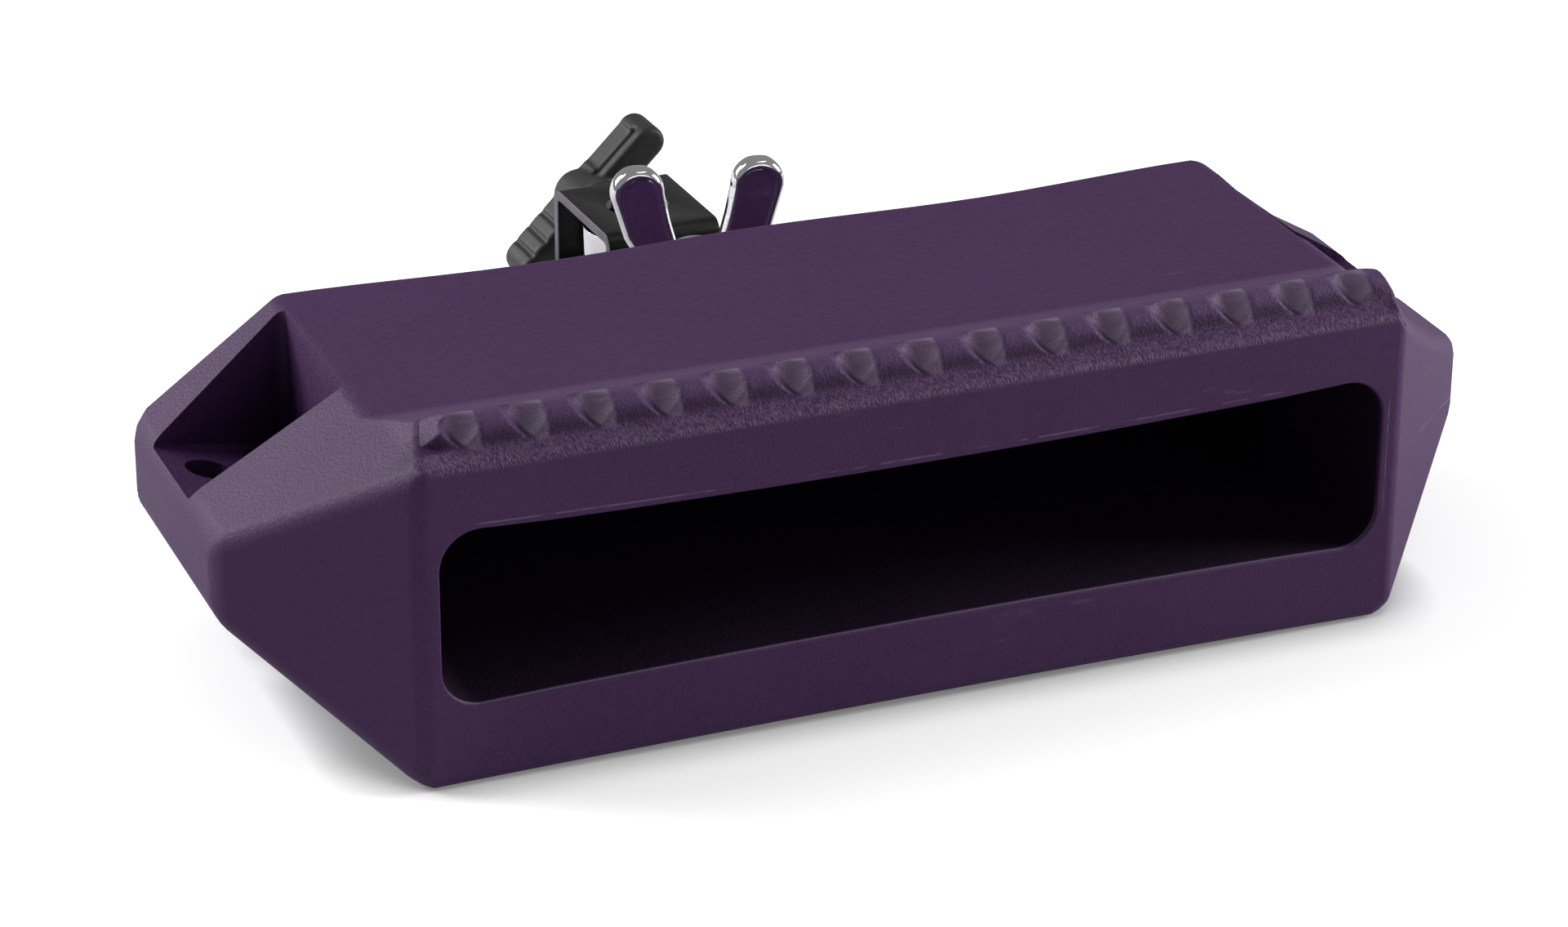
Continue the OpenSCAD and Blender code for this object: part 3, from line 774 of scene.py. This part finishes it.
# %% The hand knob
EYE_Z = (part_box("eye_bolt")[0].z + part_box("eye_bolt")[1].z) / 2
KNOB_REACH = 56.8 * MM
KNOB_TURN = math.radians(-44)
KNOB_VOXEL = 0.4 * MM
KNOB_DEEP = 19 * MM
BAR_HALF = 24.5 * MM
BAR_THICK = 4 * MM
BAR_BACK = KNOB_DEEP - 12.8 * MM
BAR_R = 1.5 * MM
PANEL_FROM = 7 * MM
PANEL_TO = 20 * MM
PANEL_BACK = BAR_BACK + 3.6 * MM
PANEL_FLOOR = BAR_THICK - 0.5 * MM
SLOT_R = 1.1 * MM
SLOT_BACK = BAR_BACK + 4.2 * MM
GROOVES = 3
GROOVE_R = 0.8 * MM
GROOVE_STEP = 4.6 * MM
GROOVE_FIRST = 18.4 * MM
# The flared hub and its collar: where each starts and ends, and its radius at either end, in mm.
HUBS = ((0, 19, 8.2, 5.8), (0, 5, 9.3, 7.4))
SEAT_R = 5.85 * MM
CLEARANCE_R = 4.3 * MM


def knob_bar():
    """The bar that the fingers turn, with its panel, slot and grooves."""
    centre = BAR_HALF - BAR_THICK
    outline = arc((centre, 0), BAR_THICK, -90, 90, 14) + arc((-centre, 0), BAR_THICK, 90, 270, 14)
    bar = plate_piece("hand_knob_skin", outline, BAR_BACK, KNOB_DEEP)
    round_edges(bar, lambda e: reach_along(e, 1) < 0.1 * MM, BAR_R, 4)
    panel_high = (PANEL_TO, KNOB_DEEP + MM, BAR_THICK + 3 * MM)
    combine(bar, box_piece("panel", (PANEL_FROM, PANEL_BACK, PANEL_FLOOR), panel_high), "DIFFERENCE")
    slot = tube_piece("slot", SLOT_R, 5 * MM, 20.6 * MM, (0, SLOT_BACK, PANEL_FLOOR), "X", 24)
    combine(bar, slot, "DIFFERENCE")
    for i in range(GROOVES):
        place = (i * GROOVE_STEP - GROOVE_FIRST, 0, BAR_THICK + 0.2 * MM)
        combine(bar, tube_piece("groove", GROOVE_R, 0, KNOB_DEEP + MM, place, "Y", 24), "DIFFERENCE")
    return bar


def make_knob():
    knob = knob_bar()
    for low, high, wide, narrow in HUBS:
        hub = tube_piece("hub", wide * MM, low * MM, high * MM, (0, 0, 0), "Y", 64)
        edit(hub)
        pick(hub, "VERT", lambda v: v.co.y > (low + high) / 2 * MM)
        bpy.ops.transform.resize(value=(narrow / wide, 1, narrow / wide), center_override=(0, 0, 0))
        done()
        round_edges(hub, lambda e: edge_angle(e) > 50, 1.2 * MM, 3)
        combine(knob, hub, "UNION")
    cast(knob, KNOB_VOXEL, 9)
    combine(knob, tube_piece("seat", SEAT_R, -MM, 14 * MM, (0, 0, 0), "Y", 48), "DIFFERENCE")
    combine(knob, tube_piece("clearance", CLEARANCE_R, 0, 16.5 * MM, (0, 0, 0), "Y", 48), "DIFFERENCE")
    smooth(knob, 40)
    knob.data.transform(Matrix.Rotation(KNOB_TURN, 4, "Y"))
    knob.data.transform(Matrix.Translation((0, KNOB_REACH, EYE_Z)))
    swung(knob, CLAMP_TURN, (0, BOLT_Y, 0))
    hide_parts("hand_knob")
    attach(knob, "knob")
    return knob


hand_knob = make_knob()
print("hand knob:", len(hand_knob.data.polygons), "faces")

# %% [markdown]
# Effects that several materials share are node groups: a fine grain, soft patches, and thin scuffs. They
# read object coordinates in metres, so each scale is given per metre.

# %% Shared effects
def new_group(name, inputs, outputs):
    tree = bpy.data.node_groups.new(name, "ShaderNodeTree")
    for title, value in inputs:
        socket = tree.interface.new_socket(title, in_out="INPUT", socket_type="NodeSocketFloat")
        socket.default_value = value
    for title in outputs:
        tree.interface.new_socket(title, in_out="OUTPUT", socket_type="NodeSocketFloat")
    return tree, tree.nodes.new("NodeGroupInput"), tree.nodes.new("NodeGroupOutput")


def add(tree, kind, **values):
    node = tree.nodes.new(kind)
    for key, value in values.items():
        setattr(node, key, value)
    return node


def noise(tree, place, scale, detail=3.0, rough=0.5):
    node = add(tree, "ShaderNodeTexNoise")
    node.inputs["Detail"].default_value = detail
    node.inputs["Roughness"].default_value = rough
    tree.links.new(place, node.inputs["Vector"])
    if isinstance(scale, (int, float)):
        node.inputs["Scale"].default_value = scale
    else:
        tree.links.new(scale, node.inputs["Scale"])
    return node.outputs["Fac"]


def span(tree, value, low, high, to_low=0.0, to_high=1.0):
    """Stretches the values from low to high over a new range, and clips what lies outside."""
    node = add(tree, "ShaderNodeMapRange", clamp=True)
    for title, number in zip(("From Min", "From Max", "To Min", "To Max"), (low, high, to_low, to_high)):
        node.inputs[title].default_value = number
    tree.links.new(value, node.inputs["Value"])
    return node.outputs["Result"]


def sum_of(tree, kind, one, two):
    node = add(tree, "ShaderNodeMath", operation=kind)
    for socket, value in zip(node.inputs, (one, two)):
        if isinstance(value, (int, float)):
            socket.default_value = value
        else:
            tree.links.new(value, socket)
    return node.outputs[0]


def grain_group():
    """Fine even texture of a sand-blasted mould or a sprayed coat, about 0 to 1."""
    tree, inside, outside = new_group("grain", [("Scale", 1500.0)], ["Value"])
    place = add(tree, "ShaderNodeTexCoord").outputs["Object"]
    fine = noise(tree, place, inside.outputs["Scale"], 2.0)
    coarse = noise(tree, place, sum_of(tree, "MULTIPLY", inside.outputs["Scale"], 0.3), 2.0)
    both = sum_of(tree, "ADD", sum_of(tree, "MULTIPLY", fine, 0.7), sum_of(tree, "MULTIPLY", coarse, 0.3))
    tree.links.new(span(tree, both, 0.36, 0.64), outside.inputs["Value"])
    return tree


def patches_group():
    """Broad soft differences, as from handling and from flow in the mould."""
    tree, inside, outside = new_group("patches", [("Scale", 18.0)], ["Value"])
    place = add(tree, "ShaderNodeTexCoord").outputs["Object"]
    broad = noise(tree, place, inside.outputs["Scale"], 4.0, 0.6)
    tree.links.new(span(tree, broad, 0.35, 0.65), outside.inputs["Value"])
    return tree


def scuffs_group():
    """Thin pale rub marks: stretched noise, let through only in a few patches."""
    tree, inside, outside = new_group("scuffs", [("Scale", 60.0), ("Amount", 0.5)], ["Mask"])
    place = add(tree, "ShaderNodeTexCoord").outputs["Object"]
    turn = add(tree, "ShaderNodeMapping")
    turn.inputs["Rotation"].default_value = (0.3, 0.5, 0.7)
    turn.inputs["Scale"].default_value = (1.0, 9.0, 5.0)
    tree.links.new(place, turn.inputs["Vector"])
    lines = span(tree, noise(tree, turn.outputs["Vector"], inside.outputs["Scale"], 5.0, 0.65), 0.62, 0.7)
    where = span(tree, noise(tree, place, 26.0, 2.0), 0.5, 0.64)
    mask = sum_of(tree, "MULTIPLY", sum_of(tree, "MULTIPLY", lines, where), inside.outputs["Amount"])
    tree.links.new(mask, outside.inputs["Mask"])
    return tree


GRAIN, PATCHES, SCUFFS = grain_group(), patches_group(), scuffs_group()
print("node groups:", [group.name for group in (GRAIN, PATCHES, SCUFFS)])

# %% [markdown]
# Every material follows one pattern: a base colour that drifts a little in patches, grain in its colour and
# its roughness, pale scuffs, and a shallow bump from the grain.

# %% Building a material
def use(tree, group, **values):
    node = add(tree, "ShaderNodeGroup", node_tree=group)
    for key, value in values.items():
        node.inputs[key].default_value = value
    return node.outputs[0]


def blend_colours(tree, factor, one, two):
    node = add(tree, "ShaderNodeMix", data_type="RGBA")
    tree.links.new(factor, node.inputs["Factor"])
    for title, colour in (("A", one), ("B", two)):
        socket = [s for s in node.inputs if s.name == title and s.type == "RGBA"][0]
        if isinstance(colour, tuple):
            socket.default_value = (*colour, 1)
        else:
            tree.links.new(colour, socket)
    return [s for s in node.outputs if s.type == "RGBA"][0]


def surface(name, colour, drift, speck, rough, rough_spread, metal=0.0, grain=1500.0, relief=0.02,
            patch=18.0, scuff_colour=(0.5, 0.45, 0.5), scuff=0.0, specular=0.5):
    mat = bpy.data.materials.new(name)
    mat.use_nodes = True
    tree = mat.node_tree
    shader = tree.nodes["Principled BSDF"]
    texture = use(tree, GRAIN, Scale=grain)
    zones = use(tree, PATCHES, Scale=patch)
    body = blend_colours(tree, zones, colour, drift)
    body = blend_colours(tree, sum_of(tree, "MULTIPLY", texture, 0.35), body, speck)
    rub = use(tree, SCUFFS, Scale=60.0, Amount=scuff)
    body = blend_colours(tree, rub, body, scuff_colour)
    tree.links.new(body, shader.inputs["Base Color"])
    fine_part = sum_of(tree, "MULTIPLY", texture, 0.6)
    uneven = sum_of(tree, "ADD", fine_part, sum_of(tree, "MULTIPLY", zones, 0.4))
    rough_here = span(tree, uneven, 0, 1, rough - rough_spread, rough + rough_spread)
    tree.links.new(rough_here, shader.inputs["Roughness"])
    shader.inputs["Metallic"].default_value = metal
    shader.inputs["Specular IOR Level"].default_value = specular
    bump = add(tree, "ShaderNodeBump")
    bump.inputs["Strength"].default_value = 0.6
    bump.inputs["Distance"].default_value = relief * MM
    tree.links.new(texture, bump.inputs["Height"])
    tree.links.new(bump.outputs["Normal"], shader.inputs["Normal"])
    return mat


def dress(obj, *mats):
    obj.data.materials.clear()
    for mat in mats:
        obj.data.materials.append(mat)

# %% [markdown]
# The colours are linear and were judged in renders beside the photograph. The plastic and the painted steel
# keep a low specular, as a fine matt texture does. Zinc and chrome are a little uneven, so that their
# reflections break up as on real plating.

# %% The materials
purple = surface("block_plastic", (0.034, 0.008, 0.051), (0.039, 0.011, 0.057), (0.071, 0.032, 0.091),
                 0.58, 0.07, grain=1500.0, relief=0.13, scuff=0.04, specular=0.2)
chrome = surface("chrome", (0.62, 0.62, 0.645), (0.57, 0.57, 0.6), (0.68, 0.68, 0.7), 0.07, 0.04, 1.0,
                 grain=900.0, relief=0.004, scuff_colour=(0.5, 0.5, 0.52), scuff=0.2)
zinc = surface("zinc_steel", (0.56, 0.57, 0.60), (0.48, 0.49, 0.53), (0.66, 0.66, 0.68), 0.32, 0.1, 1.0,
               grain=1100.0, relief=0.02, patch=220.0, scuff_colour=(0.3, 0.3, 0.3), scuff=0.4)
black_steel = surface("black_steel", (0.004, 0.004, 0.0042), (0.006, 0.006, 0.0063), (0.01, 0.01, 0.0105),
                      0.32, 0.06, grain=500.0, relief=0.015, patch=90.0,
                      scuff_colour=(0.07, 0.068, 0.07), scuff=0.2, specular=0.18)
bare_edge = surface("sheared_edge", (0.065, 0.055, 0.078), (0.045, 0.038, 0.054), (0.1, 0.088, 0.118),
                    0.5, 0.1, 0.2, grain=900.0, relief=0.05, patch=140.0,
                    scuff_colour=(0.05, 0.05, 0.05), scuff=0.4)
rubber = surface("isolator_rubber", (0.012, 0.012, 0.012), (0.018, 0.018, 0.018), (0.03, 0.03, 0.03),
                 0.7, 0.1, grain=1200.0, relief=0.03, patch=60.0, specular=0.35)
nylon = surface("nylon", (0.74, 0.73, 0.68), (0.68, 0.66, 0.6), (0.8, 0.79, 0.74), 0.42, 0.08, grain=900.0)
brass = surface("brass", (0.75, 0.52, 0.22), (0.66, 0.44, 0.18), (0.8, 0.6, 0.3), 0.28, 0.1, 1.0, grain=900.0)
knob_plastic = surface("knob_plastic", (0.015, 0.015, 0.0157), (0.019, 0.019, 0.0197), (0.03, 0.03, 0.031),
                       0.5, 0.08, grain=900.0, relief=0.03, patch=70.0,
                       scuff_colour=(0.1, 0.1, 0.1), scuff=0.25, specular=0.22)
print("materials:", sorted(mat.name for mat in bpy.data.materials))

# %% [markdown]
# The block's plastic has marks that belong to one place. Painted shade darkens the steep face along the
# bead's foot and the cavity, and painted light makes the mouth's lower lip, the ridge's crest, the bead's
# upper part and the right side of each scallop pale. The ledge in front has short strokes, and the mould left
# a thin seam around
# the mouth. Each mark is a mask: a product of soft windows along the object's own axes.

# %% Marks on the block
SEAM_OUT = 1.5
SCRATCH_X = 114.6
SCRATCH_Z = 37.9
SCRATCH_RISE = -0.153


def product(tree, *values):
    result = values[0]
    for value in values[1:]:
        result = sum_of(tree, "MULTIPLY", result, value)
    return result


def window(tree, value, rise=None, fall=None):
    """A mask that goes from 0 to 1 over the rise, and back to 0 over the fall."""
    up = span(tree, value, *rise) if rise else 1.0
    return sum_of(tree, "MULTIPLY", span(tree, value, *fall, 1, 0), up) if fall else up


def line_at(tree, value, place, half=0.12):
    """A thin line where the value passes the place."""
    gap = sum_of(tree, "ABSOLUTE", sum_of(tree, "SUBTRACT", value, place), 0)
    return window(tree, gap, fall=(half, 2 * half))


def flash_lines(tree, place, x, deep, z):
    """The broken seam that the mould left around the mouth, and a long scratch on the right facet, in mm."""
    mouth_x, low, high = MOUTH_X / MM, MOUTH_LOW / MM, MOUTH_HIGH / MM
    end = HALF_L / MM
    out = sum_of(tree, "ABSOLUTE", x, 0)
    squared = sum_of(tree, "POWER", sum_of(tree, "DIVIDE", out, mouth_x), 2)
    rim = sum_of(tree, "MULTIPLY", squared, MOUTH_BOW_HIGH)
    rim = sum_of(tree, "ADD", rim, high - MOUTH_BOW_HIGH + SEAM_OUT)
    above = product(tree, line_at(tree, z, rim), window(tree, out, fall=(mouth_x - 10, mouth_x - 7)))
    level = sum_of(tree, "ABSOLUTE", sum_of(tree, "SUBTRACT", z, (low + high) / 2), 0)
    beside = product(tree, line_at(tree, x, mouth_x + SEAM_OUT), window(tree, level, fall=(12, 15)))
    seam = product(tree, sum_of(tree, "MAXIMUM", above, beside), window(tree, deep, fall=(0.3, 0.8)))
    course = sum_of(tree, "MULTIPLY", sum_of(tree, "SUBTRACT", x, SCRATCH_X), SCRATCH_RISE)
    scratch = product(tree, line_at(tree, z, sum_of(tree, "ADD", course, SCRATCH_Z)),
                      window(tree, x, rise=(end + 1.5, end + 3)), window(tree, deep, fall=(32, 34)))
    broken = span(tree, noise(tree, place, 130.0), 0.44, 0.56)
    return product(tree, sum_of(tree, "MAXIMUM", seam, scratch), broken)


def lit_scallop_faces(tree, x, deep):
    """Painted light on the right face of each scallop, the face that the lamps light."""
    pitch = PITCH / MM
    turns = sum_of(tree, "ADD", sum_of(tree, "DIVIDE", x, pitch), 20.5 - SCALLOP_SHIFT)
    step = sum_of(tree, "SUBTRACT", sum_of(tree, "FRACT", turns, 0), 0.5)
    across = sum_of(tree, "MULTIPLY", step, pitch)
    slant = sum_of(tree, "MULTIPLY", sum_of(tree, "SUBTRACT", deep, 8.5), 0.5)
    return product(tree, window(tree, sum_of(tree, "ADD", across, slant), rise=(-0.3, 0.7)),
                   window(tree, across, fall=(3.9, 4.7)), window(tree, deep, (5, 7), (12.2, 12.6)))


def short_strokes(tree, place):
    turn = add(tree, "ShaderNodeMapping")
    turn.inputs["Scale"].default_value = (1.0, 0.3, 0.5)
    tree.links.new(place, turn.inputs["Vector"])
    return span(tree, noise(tree, turn.outputs["Vector"], 2600.0, 3.0), 0.42, 0.66)


def smoother_front(tree, shader, x, deep):
    """Lowers the grain's bump on the front face and its facets, which the mould left smoother."""
    past = sum_of(tree, "SUBTRACT", sum_of(tree, "ABSOLUTE", x, 0), HALF_L / MM)
    facet_rise = (FACET_Y - FRONT_Y) / (TIP_X - HALF_L)
    drawn_in = sum_of(tree, "MULTIPLY", sum_of(tree, "MAXIMUM", past, 0), facet_rise)
    under_skin = sum_of(tree, "SUBTRACT", deep, drawn_in)
    height = shader.inputs["Normal"].links[0].from_node.inputs["Height"]
    grain = height.links[0].from_socket
    tree.links.new(product(tree, grain, span(tree, under_skin, 0.5, 2.5, 0.4, 1)), height)


def block_marks(mat):
    """Adds the marks, from the deepest to the topmost. Their windows are in mm."""
    tree = mat.node_tree
    shader = tree.nodes["Principled BSDF"]
    place = add(tree, "ShaderNodeTexCoord").outputs["Object"]
    parts = add(tree, "ShaderNodeSeparateXYZ")
    tree.links.new(place, parts.inputs[0])
    x, y, z = [sum_of(tree, "DIVIDE", parts.outputs[axis], MM) for axis in "XYZ"]
    deep = sum_of(tree, "SUBTRACT", y, FRONT_Y / MM)
    up = sum_of(tree, "SUBTRACT", z, TOP_Z / MM)
    end, low, high = HALF_L / MM, MOUTH_LOW / MM, MOUTH_HIGH / MM
    cavity = (CAVITY_BACK - FRONT_Y) / MM
    on_top = window(tree, up, rise=(-1.5, -0.9))
    between_ends = window(tree, sum_of(tree, "ABSOLUTE", x, 0), fall=(end - 4, end - 1))

    # Painted shade on the bead's steep front face near its foot, which faces away from the lamps.
    painted_bead_shade = product(tree, window(tree, deep, (5.6, 6.6), (9, 11)), window(tree, up, fall=(2.6, 4.6)), on_top)
    # Painted shade inside the cavity, darkest just past the rim.
    painted_cavity_shade = product(tree, window(tree, deep, (0.9, 1.7), (cavity + 1, cavity + 3)), between_ends,
                     window(tree, z, (low - 2, low - 0.6), (high - 1, high + 1)))
    # A painted highlight along the mouth's rounded lower lip.
    painted_lip_highlight = product(tree, window(tree, deep, (0.25, 0.5), (0.9, 1.3)), between_ends,
                  window(tree, z, (low - 2, low - 1.6), (low + 3, low + 11)))
    # Painted light on the ridge's crest and the band behind it.
    painted_crest_light = product(tree, window(tree, up, rise=(0.2, 1.4)), window(tree, deep, rise=(12.4, 13.2)))
    sheen = product(tree, window(tree, deep, (6.6, 8.6), (12, 12.8)), window(tree, up, rise=(2.8, 5)),
                    between_ends)
    # Painted light on the lit right side of each scallop.
    painted_scallop_light = product(tree, lit_scallop_faces(tree, x, deep), on_top, between_ends)
    strokes = product(tree, short_strokes(tree, place), window(tree, deep, (-0.2, 0.5), (5.2, 6.4)),
                      on_top, between_ends)

    body = shader.inputs["Base Color"].links[0].from_socket
    for mask, share, colour in ((painted_bead_shade, 0.45, (0.008, 0.002, 0.012)),
                                (painted_cavity_shade, 0.9, (0.004, 0.001, 0.006)),
                                (painted_lip_highlight, 0.9, (0.16, 0.11, 0.19)),
                                (painted_crest_light, 0.45, (0.085, 0.05, 0.102)),
                                (sheen, 0.34, (0.12, 0.075, 0.155)),
                                (painted_scallop_light, 0.58, (0.185, 0.138, 0.208)),
                                (flash_lines(tree, place, x, deep, z), 0.32, (0.2, 0.15, 0.23)),
                                (strokes, 0.42, (0.17, 0.125, 0.19))):
        body = blend_colours(tree, sum_of(tree, "MULTIPLY", mask, share), body, colour)
    tree.links.new(body, shader.inputs["Base Color"])

    smoother_front(tree, shader, x, deep)
    bump = add(tree, "ShaderNodeBump")
    bump.inputs["Strength"].default_value = 0.8
    bump.inputs["Distance"].default_value = 0.25 * MM
    tree.links.new(strokes, bump.inputs["Height"])
    tree.links.new(shader.inputs["Normal"].links[0].from_socket, bump.inputs["Normal"])
    tree.links.new(bump.outputs["Normal"], shader.inputs["Normal"])


block_marks(purple)
print("block_plastic nodes:", len(purple.node_tree.nodes))

# %% [markdown]
# Each piece gets its material. Only the bracket has two: its sheet is bare where it was sheared.

# %% Dressing the pieces
MATERIALS = {"zinc_steel": zinc, "isolator_rubber": rubber, "nylon": nylon, "brass": brass,
             "black_steel": black_steel, "chrome": chrome}
for node, body, slot, width, segments in SMALL_PIECES:
    dress(skins[node], MATERIALS[slot])
for piece, mat in ((block_skin, purple), (wing_nut, chrome), (hand_knob, knob_plastic)):
    dress(piece, mat)


def dress_bracket(bracket):
    """Black all over, but bare where the sheet was sheared along its two sides."""
    dress(bracket, black_steel, bare_edge)
    across = Vector((math.cos(CLAMP_TURN), math.sin(CLAMP_TURN), 0))
    for face in bracket.data.polygons:
        face.material_index = 1 if abs(face.normal.dot(across)) > 0.6 else 0
    return sum(face.material_index for face in bracket.data.polygons)


print("sheared faces:", dress_bracket(skins["clamp_bracket"]))

# %% [markdown]
# The camera stands where the photograph was taken from: a long lens, to the left of the middle and well
# above it.

# %% The camera
CAMERA_PLACE = (-0.3669, -0.8702, 0.4727)
CAMERA_TURN = (22.20, 24.94, 0.34)
CAMERA_LENS = 110.68


def place_camera():
    azimuth, elevation, roll = (math.radians(a) for a in CAMERA_TURN)
    level = math.cos(elevation)
    ahead = Vector((math.sin(azimuth) * level, math.cos(azimuth) * level, -math.sin(elevation)))
    right = Vector((math.cos(azimuth), -math.sin(azimuth), 0))
    up = right.cross(ahead)
    right_rolled = math.cos(roll) * right + math.sin(roll) * up
    up_rolled = -math.sin(roll) * right + math.cos(roll) * up
    data = bpy.data.cameras.new("camera")
    data.lens = CAMERA_LENS
    data.clip_start = 0.05
    camera = bpy.data.objects.new("camera", data)
    bpy.context.scene.collection.objects.link(camera)
    turn = Matrix((right_rolled, up_rolled, -ahead)).transposed().to_4x4()
    camera.matrix_world = Matrix.Translation(CAMERA_PLACE) @ turn
    bpy.context.scene.camera = camera


place_camera()
print("camera lens:", CAMERA_LENS, "mm")

# %% [markdown]
# The studio is a white floor and five soft lamps. The strong ones stand low, behind on the left and beside
# on the right, and leave the top and the front face dark as in the photograph. A white floor hides a soft
# shadow, so its colour is also darkened where the object stands close over it, as the camera sees it.

# %% The studio
# Each lamp's name, its place, the point that it aims at, its width and height in metres, and its watts.
LAMPS = (
    ("left_lamp", (-1.0, 0.92, 0.6), (0, 0, 0.04), 0.9, 0.5, 21),
    ("high_lamp", (-0.75, 0.4, 0.9), (0, 0, 0.04), 0.4, 0.4, 5.5),
    ("right_lamp", (1.3, -0.3, 0.5), (0, 0, 0.04), 0.6, 0.6, 24),
    ("top_lamp", (0.5, -0.3, 1.5), (0, 0, 0), 0.8, 0.6, 2.5),
    ("front_lamp", (0.1, -1.6, 0.5), (0, 0, 0.04), 1.4, 0.6, 3.4),
)
FLOOR_SIZE = 12
FLOOR_TONE = 0.8
FLOOR_GLOW = 0.45
# Reach of the contact shadow and of the broad one, in metres, and how dark each gets.
CONTACT = (0.012, 0.42)
BROAD = (0.07, 0.84)
MIRRORED_SKY = 0.28
SKY_LIGHT = 0.08


def soft_lamp(name, place, aim, width, height, power):
    data = bpy.data.lights.new(name, "AREA")
    data.shape = "RECTANGLE"
    data.size, data.size_y = width, height
    data.energy = power
    lamp = bpy.data.objects.new(name, data)
    bpy.context.scene.collection.objects.link(lamp)
    lamp.location = place
    lamp.rotation_euler = (Vector(aim) - Vector(place)).to_track_quat("-Z", "Y").to_euler()


def covered(tree, reach, darkest):
    """Darkens the floor where something stands over it within the reach."""
    node = add(tree, "ShaderNodeAmbientOcclusion", samples=8)
    node.inputs["Distance"].default_value = reach
    return span(tree, node.outputs["AO"], 0.35, 0.97, darkest, 1)


def white_floor():
    """White paper that glows a little for the camera, and is darkened near the object for it alone."""
    paper = bpy.data.materials.new("white_floor")
    paper.use_nodes = True
    tree = paper.node_tree
    shader = tree.nodes["Principled BSDF"]
    shader.inputs["Roughness"].default_value = 0.9
    shader.inputs["Specular IOR Level"].default_value = 0.2
    seen = tree.nodes.new("ShaderNodeLightPath").outputs["Is Camera Ray"]
    shade = product(tree, covered(tree, *CONTACT), covered(tree, *BROAD))
    shade = sum_of(tree, "MAXIMUM", shade, sum_of(tree, "SUBTRACT", 1.0, seen))
    tone = blend_colours(tree, shade, (0, 0, 0), (FLOOR_TONE, FLOOR_TONE, FLOOR_TONE))
    tree.links.new(tone, shader.inputs["Base Color"])
    glow = tree.nodes.new("ShaderNodeEmission")
    tree.links.new(product(tree, seen, shade, FLOOR_GLOW), glow.inputs["Strength"])
    both = tree.nodes.new("ShaderNodeAddShader")
    tree.links.new(shader.outputs[0], both.inputs[0])
    tree.links.new(glow.outputs[0], both.inputs[1])
    tree.links.new(both.outputs[0], tree.nodes["Material Output"].inputs["Surface"])
    return paper


def sky():
    """White behind the object, and a weaker even light on it."""
    world = bpy.data.worlds.new("world")
    bpy.context.scene.world = world
    world.use_nodes = True
    tree = world.node_tree
    back = tree.nodes["Background"]
    back.inputs["Color"].default_value = (1, 1, 1, 1)
    path = tree.nodes.new("ShaderNodeLightPath")
    mirrored = sum_of(tree, "MAXIMUM", path.outputs["Is Glossy Ray"], path.outputs["Is Transmission Ray"])
    mirrored = sum_of(tree, "MULTIPLY", mirrored, MIRRORED_SKY)
    seen = sum_of(tree, "MAXIMUM", path.outputs["Is Camera Ray"], mirrored)
    tree.links.new(span(tree, seen, 0, 1, SKY_LIGHT, 1.0), back.inputs["Strength"])


def studio():
    bpy.ops.object.select_all(action="DESELECT")
    bpy.ops.mesh.primitive_plane_add(size=FLOOR_SIZE, location=(0, 0, 0))
    floor = bpy.context.object
    floor.name = "floor"
    dress(floor, white_floor())
    for lamp in LAMPS:
        soft_lamp(*lamp)
    sky()


studio()
bpy.context.scene.view_settings.view_transform = "Standard"
print("lamps:", len(LAMPS))
